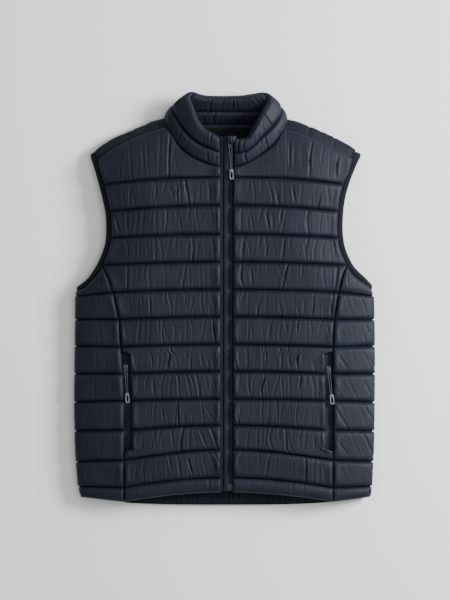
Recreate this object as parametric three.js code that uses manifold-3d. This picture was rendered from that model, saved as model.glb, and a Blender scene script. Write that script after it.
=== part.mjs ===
// A quilted, padded, zip-front vest that lies flat on its back with its own loft. Millimetres.
// X runs across, toward the wearer's left. Y runs from the hem to the collar. Z stands off the surface.
import * as THREE from 'three';
import { mergeVertices } from 'three/addons/utils/BufferGeometryUtils.js';
import Module from 'manifold-3d';

// Driving sizes
const LOFT = 46; // stitched height of the fronts at their middle
const FOLD_HEIGHT = 17; // height of the widest point of a side fold
const FOLD_DEPTH = 25; // how far a side fold reaches in before it meets the surface
const ARMHOLE_LIFT = 5; // the front armhole edge stands this much over a side fold
const SIDE_ROUND = 150; // width over which a front rises from its side fold
const ARMHOLE_ROUND = 95;
const SHOULDER_ROUND = 110;
const HEM_ROUND = 120;
const HEM_LEVEL = -355; // height of the hem that the loft drops to
const ARMHOLE_ROUND_FROM = -40; // the fronts' sides change to the armhole's rounding above this height
const ARMHOLE_ROUND_RUN = 100;
const HEM_DROP = 0.25; // share of the loft lost at the hem
const WALL = 5; // padded wall at a stitch line
const BACK_WALL = 7;
const PUFF = 9; // crown of a channel over its stitch lines
const TOP_PUFF = 10;
const HEM_PUFF = 4.5;
const EDGE_TAPER = 20; // the crowns run out over this width at a seam
const CREASE_DEPTH = 2.2; // gathers across the channels
const SEAM_GAP = 0.3;
const ZIP_LEFT_EDGE = -7; // edges of the two fronts beside the zip
const ZIP_RIGHT_EDGE = 15;
const ZIP_X = 10.5; // middle of the zip's teeth
const ZIP_TOP = 291;
const ZIP_BOTTOM = -345;
const BINDING_WIDTH = 10.5;
const BINDING_THICKNESS = 6;
const SEAM_TOP = 60; // side seams meet the armhole binding at this height
const COLLAR_WALL = 10; // padded wall at the crown of a collar channel
const COLLAR_SEAM_WALL = 3.2;
const BACK_NECK = 317;
const YOKE_NECK_X = 108; // neck end of a shoulder yoke
const YOKE_TIP_X = 225.5;
const YOKE_WALL = 4;
const POCKET_WIDTH = 13;
const POCKET_TOP = -96;
const POCKET_BOTTOM = -272;
const POCKET_RUN = 8; // a pocket's slot closes over this height
const TAPE_WALL = 1.4;
const TAPE_SINK = 2.4; // zip tapes lie this much under the stitched height
const TAPE_COLLAR_RISE = 15; // the front zip climbs this much along the collar

// Half widths of the body, from hem to underarm, toward minus X and plus X
const SIDE_COLUMNS = { y: 0, minus: 1, plus: 2 };
const SIDE_OUTLINE = [
  [-372, 250, 255],
  [-356, 257, 261.5],
  [-344, 262, 264.6],
  [-311, 265.5, 266.4],
  [-268, 268.6, 268.4],
  [-182, 270, 269.8],
  [-74, 268.8, 270],
  [0, 268, 268.4],
  [24, 267, 267],
];

// Outer edge of the armhole, from underarm to shoulder tip, as half widths
const ARMHOLE_COLUMNS = { y: 0, minus: 1, plus: 2 };
const ARMHOLE = [
  [21, 268, 266],
  [34, 249, 253],
  [56, 233, 235],
  [77.4, 222.3, 222.8],
  [99, 215, 215.6],
  [124, 212.8, 212.9],
  [153, 214.2, 213.7],
  [182, 220, 217.5],
  [212, 227.7, 226],
  [244, 237, 239],
  [258, 242, 246],
];

// Height of the shoulder fold over the half width
const FOLD_COLUMNS = { x: 0, minus: 1, plus: 2 };
const SHOULDER_FOLD = [
  [96, 330, 328],
  [116, 323, 322.5],
  [131, 318.8, 319],
  [162, 305.3, 307],
  [193, 292, 293],
  [213, 281.5, 282.5],
  [228, 270.2, 274],
  [242, 256, 263],
];

// Upper edge of a front: neck seam, then shoulder seam, over the half width
const NECK_COLUMNS = { x: 0, minus: 1, plus: 2 };
const FRONT_TOP = [
  [0, 236.5, 236.5],
  [14, 238, 236.5],
  [28, 241.5, 239],
  [48, 249.5, 248.5],
  [69, 262, 262],
  [85, 278, 275],
  [95, 296, 286],
  [104, 309, 303],
];
const SHOULDER_SEAM = [
  [104, 309.5, 308],
  [131, 302, 300.5],
  [162, 289.8, 287],
  [193, 274.3, 271],
  [209, 264.1, 264],
  [219, 256, 259],
  [230, 246, 252],
];

// Stitch lines: height beside the zip, at the side seam or armhole, and at the side fold
const LINE_COLUMNS = { zip: 0, seam: 1, fold: 2 };
const STITCH_LINES = [
  [-347.4, -362.5, -352],
  [-321, -339, -337],
  [-271, -290, -293],
  [-227, -236, -237.6],
  [-180, -183, -186],
  [-130.5, -134.5, -134.6],
  [-82, -86.6, -84.6],
  [-32.5, -37.3, -37],
  [16.6, 11.3, 5],
  [66, 60, null],
  [115.7, 109.4, null],
  [167.4, 157.5, null],
  [218.7, 206, null],
];
const SIDE_LINES = 9; // lines that cross the side panels
const LINE_BEND = 1.8; // the lines drop toward the side along this power

// Side seam over the height, as half widths
const SEAM_COLUMNS = { y: 0, minus: 1, plus: 2 };
const SIDE_SEAM = [
  [-372, 180, 194.4],
  [-184, 180, 194.4],
  [-121, 183, 193.5],
  [-79, 186, 194],
  [-36, 189, 197],
  [9, 199, 204],
  [40, 209, 211],
  [SEAM_TOP, 218.5, 219.7],
];

// Collar stations from the centre front round to the centre back, as half widths and heights
const COLLAR_COLUMNS = { baseX: 0, baseY: 1, baseZ: 2, rimX: 3, rimY: 4, rimZ: 5 };
const COLLAR_MINUS = [
  [7.3, 238, 45, 8.6, 288, 60],
  [17, 240.4, 45, 14, 292.5, 60],
  [28, 243.4, 44.5, 21, 297, 60],
  [48, 251, 43, 35, 305, 59],
  [68, 263.4, 40, 46, 319, 57],
  [84, 279.5, 36, 52, 334, 54],
  [94, 297, 31, 57, 348, 50],
  [102, 314, 25, 61, 359.5, 46],
  [103, 324, 15, 59, 366.5, 43],
  [96, 321, 7, 51, 368, 41],
  [76, BACK_NECK, 5, 40, 365, 39],
  [40, BACK_NECK, 5, 24, 363, 38],
];
const COLLAR_PLUS = [
  [15.3, 238, 45, 16.5, 288, 60],
  [24, 239.8, 45, 28, 286.5, 61],
  [36, 244, 44.5, 42, 290, 61],
  [52, 252, 43, 51, 304, 60],
  [68, 263.4, 40, 58, 319, 57],
  [86, 278, 36, 65, 333, 54],
  [97, 293, 31, 71, 345, 50],
  [105, 309, 25, 76, 355.5, 46],
  [106, 322, 15, 74, 364, 43],
  [98, 321, 7, 64, 368, 41],
  [76, BACK_NECK, 5, 46, 366, 39],
  [40, BACK_NECK, 5, 26, 363.5, 38],
];
const COLLAR_BULGE = 8; // how far the collar's sides bow out

const wasm = await Module();
wasm.setup();

const vest = new THREE.Group();

const MATERIALS = {
  shell: { color: 0x2a303b, roughness: 0.55, metalness: 0 },
  yoke: { color: 0x242736, roughness: 0.6, metalness: 0 },
  lining: { color: 0x151a1b, roughness: 0.7, metalness: 0 },
  facing: { color: 0x26222e, roughness: 0.7, metalness: 0 },
  binding: { color: 0x1c202b, roughness: 0.7, metalness: 0 },
  tape: { color: 0x20252d, roughness: 0.75, metalness: 0 },
  slider: { color: 0x3c4048, roughness: 0.35, metalness: 0.8 },
  pull: { color: 0x83878f, roughness: 0.5, metalness: 0 },
};

function place(name, geometry, finish) {
  const mesh = new THREE.Mesh(geometry, new THREE.MeshStandardMaterial(MATERIALS[finish]));
  mesh.name = name;
  vest.add(mesh);
  return mesh;
}

// Small numeric helpers
const clamp = (value) => Math.min(1, Math.max(0, value));
const mix = (a, b, share) => a + (b - a) * share;
const ease = (value) => clamp(value) ** 2 * (3 - 2 * clamp(value));
const rounding = (share) => (1 - (1 - clamp(share)) ** 1.5) ** (1 / 1.5);

// Repeatable number from 0 to 1 for two counters
function scatter(a, b) {
  const wave = Math.sin(a * 127.1 + b * 311.7) * 43758.5453;
  return wave - Math.floor(wave);
}

// Value of a table's column at a key in its first column, on a smooth curve through the rows
function read(table, column, key) {
  let row = table.length - 2;
  while (row > 0 && table[row][0] > key) row -= 1;
  const [before, after] = [table[row], table[row + 1]];
  const span = after[0] - before[0];
  const share = clamp((key - before[0]) / span);
  const slope = (low, high) => (table[high][column] - table[low][column]) / (table[high][0] - table[low][0]);
  const slopeBefore = slope(Math.max(0, row - 1), row + 1) * span;
  const slopeAfter = slope(row, Math.min(table.length - 1, row + 2)) * span;
  const square = share * share;
  const cube = square * share;
  return (2 * cube - 3 * square + 1) * before[column] + (cube - 2 * square + share) * slopeBefore
    + (3 * square - 2 * cube) * after[column] + (cube - square) * slopeAfter;
}

const columnOf = (side) => (side < 0 ? 'minus' : 'plus');

// The armhole's edge moved inward by a distance, from underarm to shoulder tip
const ARMHOLE_STEPS = 60;
function armholeLine(side, inset) {
  const column = ARMHOLE_COLUMNS[columnOf(side)];
  const curve = new THREE.CatmullRomCurve3(
    ARMHOLE.map((row) => new THREE.Vector3(row[column], row[ARMHOLE_COLUMNS.y], 0)), false, 'centripetal');
  const points = [];
  for (let step = 0; step <= ARMHOLE_STEPS; step += 1) {
    const point = curve.getPoint(step / ARMHOLE_STEPS);
    const along = curve.getTangent(step / ARMHOLE_STEPS);
    points.push(new THREE.Vector3(point.x - along.y * inset, point.y + along.x * inset, 0));
  }
  return points;
}

// Half width of a line of points at a height
function widthAt(points, y) {
  for (let step = 0; step < points.length - 1; step += 1) {
    const [low, high] = [points[step], points[step + 1]];
    if (y <= high.y && high.y > low.y) return mix(low.x, high.x, clamp((y - low.y) / (high.y - low.y)));
  }
  return points[points.length - 1].x;
}

const PANEL_INSET = BINDING_WIDTH + 0.5;
const UNDER_INSET = PANEL_INSET + 2.5; // the side panels bend down here, so they stop earlier
const ARMHOLE_EDGE = { '-1': armholeLine(-1, 0), 1: armholeLine(1, 0) };
const ARMHOLE_PANEL = { '-1': armholeLine(-1, PANEL_INSET), 1: armholeLine(1, PANEL_INSET) };
const ARMHOLE_UNDER = { '-1': armholeLine(-1, UNDER_INSET), 1: armholeLine(1, UNDER_INSET) };
const TIP_HEIGHT = 249; // front corner at the shoulder tip
const UNDERARM = ARMHOLE[0][0];

function outline(side, y) {
  if (y > UNDERARM) return widthAt(ARMHOLE_EDGE[side], y);
  return read(SIDE_OUTLINE, SIDE_COLUMNS[columnOf(side)], y);
}

const foldHeight = (side, x) => read(SHOULDER_FOLD, FOLD_COLUMNS[columnOf(side)], x);
const seamX = (side, y) => read(SIDE_SEAM, SEAM_COLUMNS[columnOf(side)], Math.min(y, SEAM_TOP));

function frontTop(side, x) {
  const column = NECK_COLUMNS[columnOf(side)];
  return x < FRONT_TOP[FRONT_TOP.length - 1][0] ? read(FRONT_TOP, column, x) : read(SHOULDER_SEAM, column, x);
}

// Outer boundary of a front or the back: side seam, then the inner edge of the binding
function panelEdge(side, y) {
  return y < SEAM_TOP ? seamX(side, y) - SEAM_GAP / 2 : widthAt(ARMHOLE_PANEL[side], y);
}

// Height of the fronts' stitch lines over the surface, at a half width
function stitchHeight(side, x, y) {
  const upper = ease((y - ARMHOLE_ROUND_FROM) / ARMHOLE_ROUND_RUN);
  const round = mix(SIDE_ROUND, ARMHOLE_ROUND, upper);
  const across = rounding((outline(side, y) - x) / round);
  const down = rounding((foldHeight(side, Math.max(x, SHOULDER_FOLD[0][0])) - y) / SHOULDER_ROUND);
  const hem = 1 - HEM_DROP * (1 - clamp((y - HEM_LEVEL) / HEM_ROUND)) ** 2;
  const low = FOLD_HEIGHT + ARMHOLE_LIFT * ease(y / SEAM_TOP) * down;
  return low + (LOFT - low) * across * down * hem;
}

// Closed wall between an outer and an inner grid of points. The inner grid may be coarser by whole steps.
function wall(outer, inner, flip) {
  const positions = [];
  const triangles = [];
  const put = (point) => positions.push(point.x, point.y, point.z) / 3 - 1;
  const out = outer.map((row) => row.map(put));
  const inn = inner.map((row) => row.map(put));
  const face = (a, b, c) => triangles.push(...(flip ? [a, c, b] : [a, b, c]));
  const skin = (grid, turned) => {
    for (let row = 0; row < grid.length - 1; row += 1) {
      for (let column = 0; column < grid[0].length - 1; column += 1) {
        const [a, b] = [grid[row][column], grid[row][column + 1]];
        const [d, c] = [grid[row + 1][column], grid[row + 1][column + 1]];
        if (turned) {
          face(a, c, b);
          face(a, d, c);
        } else {
          face(a, b, c);
          face(a, c, d);
        }
      }
    }
  };
  skin(out, false);
  skin(inn, true);
  const edges = (grid) => {
    const last = grid[0].length - 1;
    return [
      grid[0],
      grid.map((row) => row[last]),
      [...grid[grid.length - 1]].reverse(),
      grid.map((row) => row[0]).reverse(),
    ];
  };
  const innerEdges = edges(inn);
  edges(out).forEach((outerEdge, index) => {
    const innerEdge = innerEdges[index];
    const ratio = (outerEdge.length - 1) / (innerEdge.length - 1);
    for (let step = 0; step < innerEdge.length - 1; step += 1) {
      for (let part = 0; part < ratio; part += 1) {
        face(outerEdge[step * ratio + part + 1], outerEdge[step * ratio + part], innerEdge[step]);
      }
      face(outerEdge[(step + 1) * ratio], innerEdge[step], innerEdge[step + 1]);
    }
  });
  return indexed(positions, triangles);
}

function indexed(positions, triangles) {
  const geometry = new THREE.BufferGeometry();
  geometry.setAttribute('position', new THREE.Float32BufferAttribute(positions, 3));
  geometry.setIndex(triangles);
  return geometry;
}

// Every step-th row and column of a grid
const thin = (grid, rowStep, columnStep) => grid
  .filter((row, index) => index % rowStep === 0)
  .map((row) => row.filter((point, index) => index % columnStep === 0));

// Closed ring of sections, each a loop of points
function ring(sections, flip) {
  const positions = [];
  const triangles = [];
  sections.flat().forEach((point) => positions.push(point.x, point.y, point.z));
  const count = sections[0].length;
  sections.forEach((section, index) => {
    const next = (index + 1) % sections.length;
    for (let corner = 0; corner < count; corner += 1) {
      const after = (corner + 1) % count;
      const [a, b] = [index * count + corner, index * count + after];
      const [d, c] = [next * count + corner, next * count + after];
      triangles.push(...(flip ? [a, c, b, a, d, c] : [a, b, c, a, c, d]));
    }
  });
  return indexed(positions, triangles);
}

// Stitch line heights at a share of the way from the zip to the seam
function lineY(index, share) {
  const row = STITCH_LINES[index];
  return mix(row[LINE_COLUMNS.zip], row[LINE_COLUMNS.seam], share ** LINE_BEND);
}

const FRONT_COLUMNS = 16;
const COLUMN_WANDER = 0.35; // share of a column's width
const TOP_FULLNESS = 0.15; // the top channel's crown keeps this share up to its sides
const CHANNEL_STEPS = [0, 0.2, 0.5, 0.8];
const zipEdge = (side) => (side < 0 ? -ZIP_LEFT_EDGE : ZIP_RIGHT_EDGE);

// How far a front steps in for its pocket zip at a height
function pocketStep(y) {
  return POCKET_WIDTH * ease((POCKET_TOP - y) / POCKET_RUN) * ease((y - POCKET_BOTTOM) / POCKET_RUN);
}

// A front's point on the stitched surface: channel, share of its height, share of its width
function frontPoint(side, channel, rise, share) {
  const inner = zipEdge(side);
  const lowY = lineY(channel, share);
  const isTop = channel === STITCH_LINES.length - 1;
  const topX = mix(inner, panelEdge(side, TIP_HEIGHT), share);
  const highY = isTop ? frontTop(side, topX) - SEAM_GAP : lineY(channel + 1, share);
  const y = mix(lowY, highY, rise);
  const straight = mix(inner, panelEdge(side, y) - pocketStep(y), share);
  const x = isTop && share < 1 ? mix(straight, topX, rise) : straight;
  return { x, y };
}

function crown(channel) {
  if (channel === 0) return HEM_PUFF;
  return channel === STITCH_LINES.length - 1 ? TOP_PUFF : PUFF;
}

// Height that a channel's padding and its gathers add
function puff(channel, rise, distance, column) {
  const taper = Math.sin((Math.PI / 2) * clamp(distance / EDGE_TAPER)) ** 0.8;
  const swell = Math.sin(Math.PI * rise) ** 0.6;
  const gather = column % 2 ? CREASE_DEPTH * (0.4 + 0.6 * scatter(channel, column)) : 0;
  return swell * taper * (crown(channel) - gather);
}

function front(side) {
  const outer = [];
  const inner = [];
  const last = STITCH_LINES.length - 1;
  for (let channel = 0; channel <= last; channel += 1) {
    const rises = channel === last ? [...CHANNEL_STEPS, 1] : CHANNEL_STEPS;
    for (const rise of rises) {
      const outerRow = [];
      const innerRow = [];
      for (let column = 0; column <= FRONT_COLUMNS; column += 1) {
        const isEdge = column === 0 || column === FRONT_COLUMNS;
        const wander = isEdge ? 0 : COLUMN_WANDER * (scatter(channel + 0.5, column) - 0.5);
        const share = (column + wander) / FRONT_COLUMNS;
        const { x, y } = frontPoint(side, channel, rise, share);
        const z = stitchHeight(side, x, y);
        const distance = Math.min(x - zipEdge(side), panelEdge(side, y) - pocketStep(y) - x);
        const sewn = channel === last ? mix(distance, EDGE_TAPER, TOP_FULLNESS) : distance;
        outerRow.push(new THREE.Vector3(side * x, y, z + puff(channel, rise, isEdge ? 0 : sewn, column)));
        innerRow.push(new THREE.Vector3(side * x, y, z - WALL));
      }
      outer.push(outerRow);
      inner.push(innerRow);
    }
  }
  return wall(outer, thin(inner, 1, 4), side < 0);
}

place('front_right', front(-1), 'shell');
place('front_left', front(1), 'shell');

// A section that runs from a seam over a fold and back under it, with the inside of its wall.
// The stations are shares of the way to the fold, then angles under it, then shares of the way back.
const OVER_FOLD = [0, 0.17, 0.34, 0.5, 0.66, 0.82, 0.94];
const UNDER_FOLD = [0, 35, 65, 90];
const BACK_FOLD = [0.5, 1];

function foldSection(heightAt, from, nose, noseHeight, depth, back) {
  const points = OVER_FOLD.map((share) => {
    const reach = mix(from, nose, share);
    return { reach, z: heightAt(reach) };
  });
  UNDER_FOLD.forEach((degrees) => {
    const angle = THREE.MathUtils.degToRad(degrees);
    points.push({ reach: nose - depth * (1 - Math.cos(angle)), z: noseHeight * (1 - Math.sin(angle)) });
  });
  BACK_FOLD.forEach((share) => points.push({ reach: mix(nose - depth, back, share), z: 0 }));
  return points;
}

// Unit normals of a section, pointing out of the fold
function sectionNormals(points) {
  return points.map((point, index) => {
    if (index === 0) return { reach: 0, z: 1 };
    if (index >= points.length - BACK_FOLD.length - 1) return { reach: 0, z: -1 };
    const [low, high] = [points[index - 1], points[index + 1]];
    const [along, up] = [high.reach - low.reach, high.z - low.z];
    const length = Math.hypot(along, up);
    return { reach: -up / length, z: along / length };
  });
}

const SIDE_PUFFS = [0, 0.75, 1, 1, 0.95, 0.8, 0.6, 0.33, 0.15, 0, 0, 0, 0];
const SCALLOP = 3; // stitch lines draw the side fold in by this much
const SIDE_LEAST = 12; // least width of a side panel in front
const OUTLINE_MARGIN = 0.2;

function sidePanel(side) {
  const outer = [];
  const inner = [];
  const nose = OVER_FOLD.length;
  const stations = SIDE_PUFFS.length;
  const armhole = ARMHOLE_UNDER[side];
  for (let channel = 0; channel < SIDE_LINES; channel += 1) {
    const isTop = channel === SIDE_LINES - 1;
    for (const rise of isTop ? [...CHANNEL_STEPS, 1] : CHANNEL_STEPS) {
      const rowOf = (station) => {
        const toFold = station <= nose ? station / nose : (stations - 1 - station) / (stations - 1 - nose);
        const level = (row) => mix(row[LINE_COLUMNS.seam], row[LINE_COLUMNS.fold], toFold);
        const lowY = level(STITCH_LINES[channel]);
        if (!isTop) return mix(lowY, level(STITCH_LINES[channel + 1]), rise);
        const above = armhole.findIndex((point) => point.y > SEAM_TOP);
        const seamStep = above - (armhole[above].y - SEAM_TOP) / (armhole[above].y - armhole[above - 1].y);
        const along = (1 - toFold) * seamStep;
        const step = Math.min(Math.floor(along), armhole.length - 2);
        const highY = mix(armhole[step].y, armhole[step + 1].y, along - step);
        return mix(lowY, highY, rise);
      };
      const noseY = rowOf(nose);
      const outerRow = [];
      const innerRow = [];
      for (let station = 0; station < stations; station += 1) {
        const y = rowOf(station);
        const seam = seamX(side, y) + SEAM_GAP / 2;
        const edge = Math.max(seam + SIDE_LEAST, outline(side, Math.min(y, noseY)) - SCALLOP);
        const reachHere = isTop ? Math.min(edge, mix(edge, widthAt(armhole, y), rise)) : edge;
        const heightAt = (reach) => stitchHeight(side, Math.min(reach, outline(side, y) - OUTLINE_MARGIN), y);
        const section = foldSection(heightAt, seam, edge, FOLD_HEIGHT, FOLD_DEPTH, seam);
        const normals = sectionNormals(section);
        const spot = section[station];
        const normal = normals[station];
        const swell = Math.sin(Math.PI * rise) ** 0.6 * SIDE_PUFFS[station];
        const size = (channel === 0 ? HEM_PUFF : PUFF) * (isTop ? 0.5 : 1) * swell;
        const reach = Math.min(spot.reach, Math.max(reachHere, seam));
        const height = Math.max(0, spot.z + normal.z * size);
        outerRow.push(new THREE.Vector3(side * (reach + normal.reach * size), y, height));
        innerRow.push(new THREE.Vector3(side * (reach - normal.reach * WALL), y, spot.z - normal.z * WALL));
      }
      outer.push(outerRow);
      inner.push(innerRow);
    }
  }
  return wall(outer, thin(inner, 1, 2), side < 0);
}

place('side_right', sidePanel(-1), 'shell');
place('side_left', sidePanel(1), 'shell');

// The back lies on the surface. Its hem dips below the front hem, and its top meets the yokes and collar.
const BACK_HEM = -370;
const BACK_HEM_LIFT = 13; // the hem is this much higher at the side folds
const HEM_HALF = 255; // half width of the hem at the side folds
const HEM_SEAM_X = 190; // half width of the back at the hem
const BACK_COLUMNS = 8;
const ARMHOLE_ROWS = 16;
const YOKE_BACK_DROP = 0.6; // slope of the seam between the back and a yoke
const NECK_SEAM = BACK_NECK - 3;

const backHem = (x) => BACK_HEM + BACK_HEM_LIFT * (x / HEM_HALF) ** 2;
const backTop = (x) => NECK_SEAM - Math.max(0, x - YOKE_NECK_X) * YOKE_BACK_DROP;

// Heights of the rows along the back's edge: those of the side panels, then along the armhole
function backLevels() {
  const levels = [backHem(HEM_SEAM_X)];
  for (let channel = 0; channel < SIDE_LINES; channel += 1) {
    const low = STITCH_LINES[channel][LINE_COLUMNS.seam];
    const high = STITCH_LINES[channel + 1][LINE_COLUMNS.seam];
    CHANNEL_STEPS.slice(channel ? 0 : 1).forEach((rise) => levels.push(mix(low, high, rise)));
  }
  const tip = backTop(YOKE_TIP_X);
  for (let row = 0; row <= ARMHOLE_ROWS; row += 1) levels.push(mix(SEAM_TOP, tip, row / ARMHOLE_ROWS));
  return levels;
}

function backPlate(low, high, shrink, levels) {
  const [bottom, top] = [levels[0], levels[levels.length - 1]];
  const rowsAt = (z) => levels.map((level) => {
    const row = [];
    for (let column = 0; column <= BACK_COLUMNS; column += 1) {
      const share = (2 * column) / BACK_COLUMNS - 1;
      const side = share < 0 ? -1 : 1;
      const reach = Math.abs(share);
      const widthAtLevel = (y) => reach * (panelEdge(side, y) - shrink);
      const lowY = backHem(widthAtLevel(bottom)) + shrink;
      const highY = backTop(widthAtLevel(top)) - shrink;
      const y = mix(lowY, highY, (level - bottom) / (top - bottom));
      row.push(new THREE.Vector3(side * widthAtLevel(level), y, z));
    }
    return row;
  });
  return wall(rowsAt(high), thin(rowsAt(low), 1, 4), false);
}

const LINING_LOW = BACK_WALL + SEAM_GAP;
const LINING_WALL = 1;
const LINING_SHRINK = 5;
const BACK_LEVELS = backLevels();
place('back', backPlate(0, BACK_WALL, 0, BACK_LEVELS), 'shell');
const LINING_LEVELS = BACK_LEVELS.filter((level, index) => index % 4 === 0);
place('back_lining', backPlate(LINING_LOW, LINING_LOW + LINING_WALL, LINING_SHRINK, LINING_LEVELS), 'lining');

// A flat strip on the lining between two lines over the width
function strip(fromX, toX, count, lowY, highY, low, high) {
  const rowOf = (lineOf, z) => {
    const row = [];
    for (let step = 0; step <= count; step += 1) {
      const x = mix(fromX, toX, step / count);
      row.push(new THREE.Vector3(x, lineOf(x), z));
    }
    return row;
  };
  return wall([rowOf(lowY, high), rowOf(highY, high)], [rowOf(lowY, low), rowOf(highY, low)], false);
}

const STRIP_LOW = LINING_LOW + LINING_WALL + SEAM_GAP;
const STRIP_WALL = 1.2;
const NECK_TAPE_WIDTH = 7;
const NECK_TAPE_HALF = 88;
const NECK_TAPE_Y = 302;
const HEM_FACING_WIDTH = 26;
const HEM_FACING_HALF = 172;
const HEM_FACING_RISE = 6; // its lower edge over the back's hem
place('neck_tape', strip(-NECK_TAPE_HALF, NECK_TAPE_HALF, 4, () => NECK_TAPE_Y,
  () => NECK_TAPE_Y + NECK_TAPE_WIDTH, STRIP_LOW, STRIP_LOW + STRIP_WALL), 'facing');
place('hem_facing', strip(-HEM_FACING_HALF, HEM_FACING_HALF, 12, (x) => backHem(x) + HEM_FACING_RISE,
  (x) => backHem(x) + HEM_FACING_RISE + HEM_FACING_WIDTH, STRIP_LOW, STRIP_LOW + STRIP_WALL), 'facing');

// Shoulder yokes wrap from the front shoulder seam over the fold to the back
const YOKE_STEPS = 10;
const YOKE_FOLD_HEIGHT = 15;
const YOKE_FOLD_DEPTH = 18;
const YOKE_SEAM_END = SHOULDER_SEAM[SHOULDER_SEAM.length - 2][0];
const YOKE_LEAST = 10; // least width of a yoke in front

function yoke(side) {
  const outer = [];
  const inner = [];
  for (let step = 0; step <= YOKE_STEPS; step += 1) {
    const x = mix(YOKE_NECK_X, YOKE_TIP_X, step / YOKE_STEPS);
    const fold = foldHeight(side, x);
    const seam = Math.min(frontTop(side, Math.min(x, YOKE_SEAM_END)), fold - YOKE_LEAST) + SEAM_GAP;
    const heightAt = (y) => stitchHeight(side, x, y);
    const section = foldSection(heightAt, seam, fold, YOKE_FOLD_HEIGHT, YOKE_FOLD_DEPTH, backTop(x) + SEAM_GAP);
    const normals = sectionNormals(section);
    outer.push(section.map((spot) => new THREE.Vector3(side * x, spot.reach, spot.z)));
    inner.push(section.map((spot, station) => new THREE.Vector3(
      side * x, spot.reach - normals[station].reach * YOKE_WALL, spot.z - normals[station].z * YOKE_WALL)));
  }
  return wall(outer, thin(inner, 1, 2), side > 0);
}

place('shoulder_right', yoke(-1), 'yoke');
place('shoulder_left', yoke(1), 'yoke');

// Armhole bindings: closed rings from the front edge over the shoulder fold, along the back and up again
const BINDING_STEPS = 22;
const BINDING_FIRST = 4; // steps of the armhole's edge where the straight runs start and end
const BINDING_LAST = ARMHOLE_STEPS - 3;
const BINDING_PROUD = 0.5; // the binding stands this much over the stitched height
const TIP_TURN_HEIGHT = 11; // height of the binding's middle where it turns over the shoulder
const UNDER_TURN_HEIGHT = 10;
const BINDING_SECTION = [[-0.5, -0.25], [0, -0.5], [0.5, -0.35], [0.5, 0.35], [0, 0.5], [-0.5, 0.25]];

function binding(side) {
  const line = armholeLine(side, BINDING_WIDTH / 2);
  const edge = armholeLine(side, 0);
  const stations = [];
  const inwardAt = (step) => new THREE.Vector3().subVectors(line[step], edge[step]).normalize();
  const stepOf = (count) => Math.round(mix(BINDING_FIRST, BINDING_LAST, count / BINDING_STEPS));
  const thick = BINDING_THICKNESS / 2;
  for (let count = 0; count <= BINDING_STEPS; count += 1) {
    const step = stepOf(count);
    const point = line[step];
    const z = stitchHeight(side, point.x, point.y) - thick + BINDING_PROUD;
    stations.push({
      at: new THREE.Vector3(point.x, point.y, z),
      inward: inwardAt(step),
      out: new THREE.Vector3(0, 0, 1),
    });
  }
  const tip = line[ARMHOLE_STEPS];
  const tipInward = new THREE.Vector3(-1, 0.35, 0).normalize();
  stations.push({
    at: new THREE.Vector3(tip.x - 1, tip.y + 1, TIP_TURN_HEIGHT),
    inward: tipInward,
    out: new THREE.Vector3(tipInward.y, -tipInward.x, 0),
  });
  for (let count = BINDING_STEPS; count >= 0; count -= 1) {
    const step = stepOf(count);
    const point = line[step];
    stations.push({
      at: new THREE.Vector3(point.x, point.y, thick),
      inward: inwardAt(step),
      out: new THREE.Vector3(0, 0, -1),
    });
  }
  const under = read(SIDE_OUTLINE, SIDE_COLUMNS[columnOf(side)], UNDERARM);
  stations.push({
    at: new THREE.Vector3(under - thick, UNDERARM - BINDING_WIDTH / 2, UNDER_TURN_HEIGHT),
    inward: new THREE.Vector3(0, -1, 0),
    out: new THREE.Vector3(1, 0, 0),
  });
  const sections = stations.map(({ at, inward, out }) => BINDING_SECTION.map(([across, through]) => {
    const point = at.clone().addScaledVector(inward, across * BINDING_WIDTH);
    point.addScaledVector(out, through * BINDING_THICKNESS);
    return new THREE.Vector3(side * point.x, point.y, Math.max(0, point.z));
  }));
  return ring(sections, side < 0);
}

place('armhole_binding_right', binding(-1), 'binding');
place('armhole_binding_left', binding(1), 'binding');

// Stand collar: two channels, from one end at the zip round the neck to the other
const COLLAR_STEPS = 40;
const COLLAR_GATHER = 0.85; // padding left where the collar is gathered
const SLOPE_STEP = { round: 0.004, up: 0.02 }; // shares of the collar's length and height
const COLLAR_PROFILE = [
  [0, 0],
  [0.08, 0.65],
  [0.25, 1],
  [0.42, 0.65],
  [0.5, 0],
  [0.58, 0.65],
  [0.75, 1],
  [0.92, 0.85],
  [1, 0.35],
]; // share of the height, and of the padding

function collarCurves() {
  const point = (side, row, kind) => new THREE.Vector3(side * row[COLLAR_COLUMNS[`${kind}X`]],
    row[COLLAR_COLUMNS[`${kind}Y`]], row[COLLAR_COLUMNS[`${kind}Z`]]);
  const curve = (kind) => {
    const minus = COLLAR_MINUS.map((row) => point(-1, row, kind));
    const plus = COLLAR_PLUS.map((row) => point(1, row, kind)).reverse();
    return new THREE.CatmullRomCurve3([...minus, ...plus], false, 'centripetal');
  };
  return { base: curve('base'), rim: curve('rim') };
}

function collarMiddle(curves, along, rise) {
  const base = curves.base.getPoint(along);
  const rim = curves.rim.getPoint(along);
  const bow = COLLAR_BULGE * Math.sin(Math.PI * rise) * Math.sin(Math.PI * along) ** 4;
  const away = new THREE.Vector3(base.x - ZIP_X / 2, 0, 0).normalize();
  away.multiplyScalar(bow * clamp(Math.abs(base.x) / 100) ** 3);
  return base.lerp(rim, rise).add(away);
}

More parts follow.
